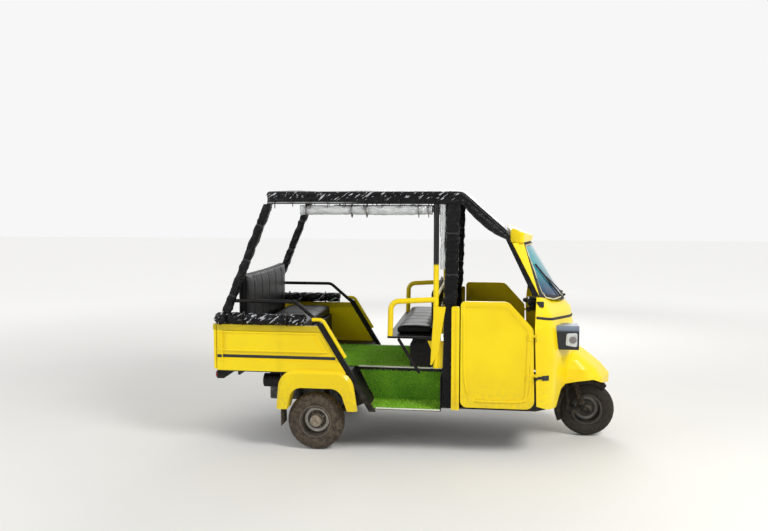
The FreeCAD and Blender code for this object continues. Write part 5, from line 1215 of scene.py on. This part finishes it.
# headlamp side lens and eyes, and the black block at the cowl's upper corner
lamp = {"corners": [(1.034, 0.774), (1.112, 0.762), (1.112, 0.862), (1.040, 0.856)], "corner": 0.014,
        "side": 0.504, "flank": 0.5, "bowl": (1.082, 0.0, 0.812), "face": 1.118, "eye": 0.031,
        "eyes": ((-0.458, 0.826), (-0.386, 0.826)),
        "plate": ((1.0, -0.000012), (1.0, 0.0015), (0.985, 0.00255), (0.95, 0.003), (0.6, 0.00345),
                  (0.2, 0.0036)),
        "dome": ((1.0, 0.0), (1.0, 0.004), (0.94, 0.006), (0.88, 0.0045), (0.80, 0.006), (0.5, 0.010),
                 (0.15, 0.012))}
cowlBlock = {"place": (0.852, 1.064), "half": (0.026, 0.012, 0.019)}


def sideLens():
    # a rounded plate on the lamp's outer flank, domed by rows of (size, how proud)
    plan = roundedPlan(lamp["corners"], lamp["corner"], 8, 8)
    middle = plan.mean(axis=0)
    size, out = np.array(lamp["plate"]).T[..., None]
    x, z = np.moveaxis(middle + size[..., None] * (plan - middle), -1, 0)
    return capped(spread(x, -lamp["side"] - out, z))


def eyes():
    # two round bowls' rims and domes on the front lens, each from rows of (size, how proud)
    size, out = np.array(lamp["dome"]).T[..., None]
    radius, turn = size * lamp["eye"], around(40)
    dome = spread(lamp["face"] + out, radius * np.cos(turn), radius * np.sin(turn))
    return together(*[capped(dome + [0.0, y, z]) for y, z in lamp["eyes"]])


lensFinish = lensWhite(lamp["bowl"], lamp["flank"])
blockAt = sideLine(("cowl_panel", "screen_surround", "roof_pillars"), [cowlBlock["place"]])[0]
blockShape = block(blockAt - cowlBlock["half"], blockAt + cowlBlock["half"])
onBothSides(("lampSideLens", sideLens(), "lamp_clear", "body", lensFinish),
            ("lampEyes", eyes(), "lamp_clear", "body", lensFinish),
            ("cowlBlock", blockShape, "lamp_black", "body", None))
print("headlamps dressed")

# fork bellows and wheel hubs; hub rows are (radius, reach outward)
fork = {"ends": ((1.20428, -0.084, 0.25612), (1.13804, -0.084, 0.44116)), "steps": 193, "radius": 0.0248,
        "fold": 0.0032, "folds": 12, "drawn": 0.003, "drawnFrom": (0.94, 1.0)}
hub = {"dome": [(0.034, 0.014), (0.0405, 0.018), (0.0425, 0.026), (0.0415, 0.036), (0.038, 0.0425),
                (0.031, 0.0455), (0.029, 0.0500), (0.022, 0.0525), (0.010, 0.0535)],
       "nutRing": 0.0565, "nuts": 4, "firstNut": 0.5, "outside": 0.12,
       "nut": [(0.0088, -0.002), (0.0088, 0.009), (0.00704, 0.011), (0.00396, 0.011), (0.00396, 0.016)]}
wave = np.linspace(0, 1, fork["steps"])
forkSize = (fork["radius"] - fork["fold"] * np.cos(2 * math.pi * fork["folds"] * wave)
            - fork["drawn"] * ramp(np.abs(2 * wave - 1), fork["drawnFrom"]))
bellows = capped(carried(line(*fork["ends"], fork["steps"]), circle(1.0, 30), yAxis, forkSize))
put("forkBellows", bellows, "flap_rubber", "steering")


def wheelNuts(wheel):
    # hexagonal nuts standing on the wheel's dish
    shapes = []
    x, y, z = wheel["centre"]
    for turn in around(hub["nuts"]) + hub["firstNut"]:
        spot = (x + hub["nutRing"] * math.cos(turn), y + wheel["out"] * hub["outside"],
                z + hub["nutRing"] * math.sin(turn))
        dish = castOn((wheel["rim"],), [spot], (0.0, -wheel["out"], 0.0))
        if len(dish):
            nut = hub["nut"] + np.array([0.0, (dish[0][1] - y) * wheel["out"]])
            shapes.append(turned(nut, (spot[0], y, spot[2]), wheel["out"], 6))
    return together(*shapes)


hubFinish = hubTan()
for label, wheel in wheels.items():
    dome = turned(hub["dome"], wheel["centre"], wheel["out"])
    put("hubDome" + label, dome, "rim_steel", wheel["body"], hubFinish, crease=35)
    put("wheelNuts" + label, wheelNuts(wheel), "rim_steel", wheel["body"], hubFinish, crease=25)
print("fork and hubs made")

# vinyl sleeves on the rear pillars and centre posts; a tie's place is a share of the sleeve's length
sleeves = {
    "pillarSleeve": {"ends": ((-1.352, 0.613, 0.975), (-1.036, 0.613, 1.733)), "across": 0.056,
                     "deep": 0.056, "ties": (0.16, 0.50, 0.82), "flat": (0.21, 0.82)},
    "postSleeve": {"ends": ((0.2445, 0.602, 1.060), (0.2640, 0.602, 1.738)), "across": 0.088, "deep": 0.047,
                   "ties": (0.30, 0.72), "flat": (0.255, 0.68)}}
sleeveShape = {"rows": 150, "round": 52, "tie": 0.0040, "tieWidth": 0.016, "calm": 0.7, "wall": 0.0016,
               "cinch": 1.035, "cinchBand": (0.0022, 0.013), "fold": (0.0030, 0.060, 71),
               "fine": (0.0013, 0.024, 72)}


def sleeve(rule, side):
    # a loose tube round a post: wrinkles stand it off, ties draw it in
    start, end = np.array(rule["ends"]) * [1.0, side, 1.0]
    grid = carried(line(start, end, sleeveShape["rows"]),
                   slab(rule["across"], rule["deep"], 5.0, sleeveShape["round"]), yAxis)
    middle = grid.mean(axis=1, keepdims=True)
    reach = np.linalg.norm(grid - middle, axis=2, keepdims=True)
    fold = ripple(grid * [0.8, 0.8, 1.0], sleeveShape["fold"], side)
    fold += ripple(grid, sleeveShape["fine"], side)
    share = np.linspace(0, 1, sleeveShape["rows"])[:, None]
    pulled = sum(bell(share, place, sleeveShape["tieWidth"]) for place in rule["ties"])
    proud = fold * (1 - sleeveShape["calm"] * pulled) - sleeveShape["tie"] * pulled
    grid = middle + (grid - middle) * (1 + proud[..., None] / reach)
    axis = (end - start) / np.linalg.norm(end - start)
    cinches = []
    for row in [round(place * (sleeveShape["rows"] - 1)) for place in rule["ties"]]:
        ring = middle[row] + (grid[row] - middle[row]) * sleeveShape["cinch"]
        cinches.append(looped(carried(ring, slab(*sleeveShape["cinchBand"], 3.0, 10), axis, closed=True)))
    return (grid.reshape(-1, 3), quads(*grid.shape[:2])), together(*cinches)


for name, rule in sleeves.items():
    for label, side in sides.items():
        tube, cinches = sleeve(rule, side)
        piece = thickened(put(name + label, tube, "roof_vinyl"), sleeveShape["wall"])
        put(name + "Ties" + label, cinches, "lamp_black")
print("sleeves made")

# webbing ties along the roof's edge, jump-seat braces, blank plate and pedals
edgeTie = {"places": np.linspace(-0.985, 0.150, 10), "across": 0.6185, "level": 1.7485, "half": 0.0265,
           "deep": 0.0075, "sway": 0.004, "swayStep": 5.1, "drop": 0.006, "dropStep": 2.3,
           "band": (0.012, 0.0016)}
brace = {"ends": ((-0.114, 0.600, 0.806), (0.030, 0.600, 0.575)), "section": (0.022, 0.005), "bolt": 0.008,
         "boltIn": 0.006, "boltOut": 0.008}
plate = {"low": (-1.4520, -0.130, 0.640), "high": (-1.4470, 0.130, 0.760), "corner": 0.0012, "edge": 0.001}
pedal = {"places": {"brake": (0.86, -0.20), "clutch": (0.86, 0.16)}, "section": (0.010, 0.010),
         "arm": [(0.055, 0.0, 0.420), (0.030, 0.0, 0.400), (0.006, 0.0, 0.395), (0.0, 0.0, 0.420)],
         "low": (-0.012, -0.030, 0.412), "high": (0.022, 0.030, 0.424)}


def hemTies(side):
    # webbing loops that hang out under the roof's hem, each a little aside and lower or higher than the last
    turn = around(26)
    shapes = []
    for number, x in enumerate(edgeTie["places"]):
        sway = edgeTie["sway"] * math.sin(edgeTie["swayStep"] * number)
        drop = edgeTie["drop"] * math.sin(edgeTie["dropStep"] * number + side)
        path = spread(x + sway * np.sin(turn), side * (edgeTie["across"] + edgeTie["deep"] * np.cos(turn)),
                      edgeTie["level"] + drop + edgeTie["half"] * np.sin(turn))
        shapes.append(looped(carried(path, slab(*edgeTie["band"], 3.0, 8), xAxis, closed=True)))
    return together(*shapes)


for label, side in sides.items():
    put("roofTies" + label, hemTies(side), "flap_rubber")
    ends = np.array(brace["ends"]) * [1.0, side, 1.0]
    inward, outward = [0, side * brace["boltIn"], 0], [0, side * brace["boltOut"], 0]
    bolts = [rod(end - inward, end + outward, brace["bolt"], 6, 4) for end in ends]
    bar = moulding(line(*ends, 12), *brace["section"], yAxis, 5.0)
    put("seatBrace" + label, together(bar, *bolts), "frame_black", crease=40)
put("blankPlate", block(**plate), "trim_white", "tailgate")
for label, place in pedal["places"].items():
    foot = np.array([*place, 0.0])
    arm = moulding(eased(pedal["arm"] + foot, 20), *pedal["section"], yAxis)
    put(label + "Pedal", together(arm, block(pedal["low"] + foot, pedal["high"] + foot)), "frame_black")
print("small fittings made")

# door hinge leaves, grips, dial pod and the vinyl wrapped round the pillars' feet
leaf = {"levels": (0.567, 0.842), "door": (0.762, 0.812), "cowl": (0.870, 0.916), "tall": 0.034,
        "thick": 0.004}
grip = {"outer": 0.272, "inner": 0.165, "bar": 0.011, "radius": 0.0165, "rows": 60, "above": 1.2,
        "span": (0.772, 0.892), "ring": 0.0010, "rings": 14, "flange": 0.006, "flangeAt": 0.96,
        "flangeWidth": 0.02}
dialPod = {"low": (0.800, -0.078, 0.985), "high": (0.862, 0.078, 1.040), "corner": 0.018, "edge": 0.008}
footWrap = {"centre": (-1.380, 0.620, 0.926), "half": (0.056, 0.043, 0.046), "crumple": (0.0065, 0.040, 81),
            "fine": (0.0026, 0.015, 83)}


def leafPlate(label, span, level):
    # a flat leaf lying on the surface behind it, along x between the two ends of its span
    spots = sideLine((label,), [(x, level) for x in np.linspace(*span, 10)])
    return moulding(spots - [0.0, leaf["thick"] / 2, 0.0], leaf["thick"], leaf["tall"], softness=7.0)


def gripTube(side):
    # rubber grip on a straight line fitted through the bar's highest points: fine rings along it and a
    # flange at its inner end
    y = np.linspace(grip["outer"], grip["inner"], grip["rows"])
    tops = []
    for across in y:
        starts = [(x, side * across, grip["above"]) for x in np.linspace(*grip["span"], 40)]
        hits = castOn(("handlebar",), starts, (0.0, 0.0, -1.0))
        tops.append(hits[hits[:, 2].argmax()])
    path = np.array(tops) - [0.0, 0.0, grip["bar"]]
    path = np.stack([np.polyval(np.polyfit(y, path[:, axis], 1), y) for axis in range(3)], axis=1)
    share = np.linspace(0, 1, grip["rows"])
    size = grip["radius"] + grip["ring"] * np.sin(share * 2 * math.pi * grip["rings"])
    size += grip["flange"] * bell(share, grip["flangeAt"], grip["flangeWidth"])
    return capped(carried(path, circle(1.0, 24), zAxis, size))


def wrappedFoot(side):
    # a crumpled vinyl lump round the pillar's foot: an ellipsoid pushed in and out by two sizes of ripple
    rise, turn = np.linspace(-math.pi / 2, math.pi / 2, 60)[1:-1, None], around(90)
    ball = spread(np.cos(rise) * np.cos(turn), np.cos(rise) * np.sin(turn), np.sin(rise))
    spots = ball * footWrap["half"]
    push = ripple(spots * [1.0, 0.7, 1.4], footWrap["crumple"], side) + ripple(spots, footWrap["fine"])
    return capped((spots + ball * push[..., None] + footWrap["centre"]) * [1.0, side, 1.0])


onBothSides(
    ("doorLeaves", together(*[leafPlate("door_right", leaf["door"], level) for level in leaf["levels"]]),
     "body_yellow", "door_{}", None),
    ("cowlLeaf", leafPlate("cowl_panel", leaf["cowl"], leaf["levels"][0]), "lamp_black", "body", None))
for label, side in sides.items():
    put("grip" + label, gripTube(side), "flap_rubber", "steering")
    lump = put("footWrap" + label, wrappedFoot(side), "roof_vinyl")
put("dialPod", block(**dialPod), "lamp_black", "steering")
print("leaves, grips and wraps made")

bpy.context.view_layer.update()
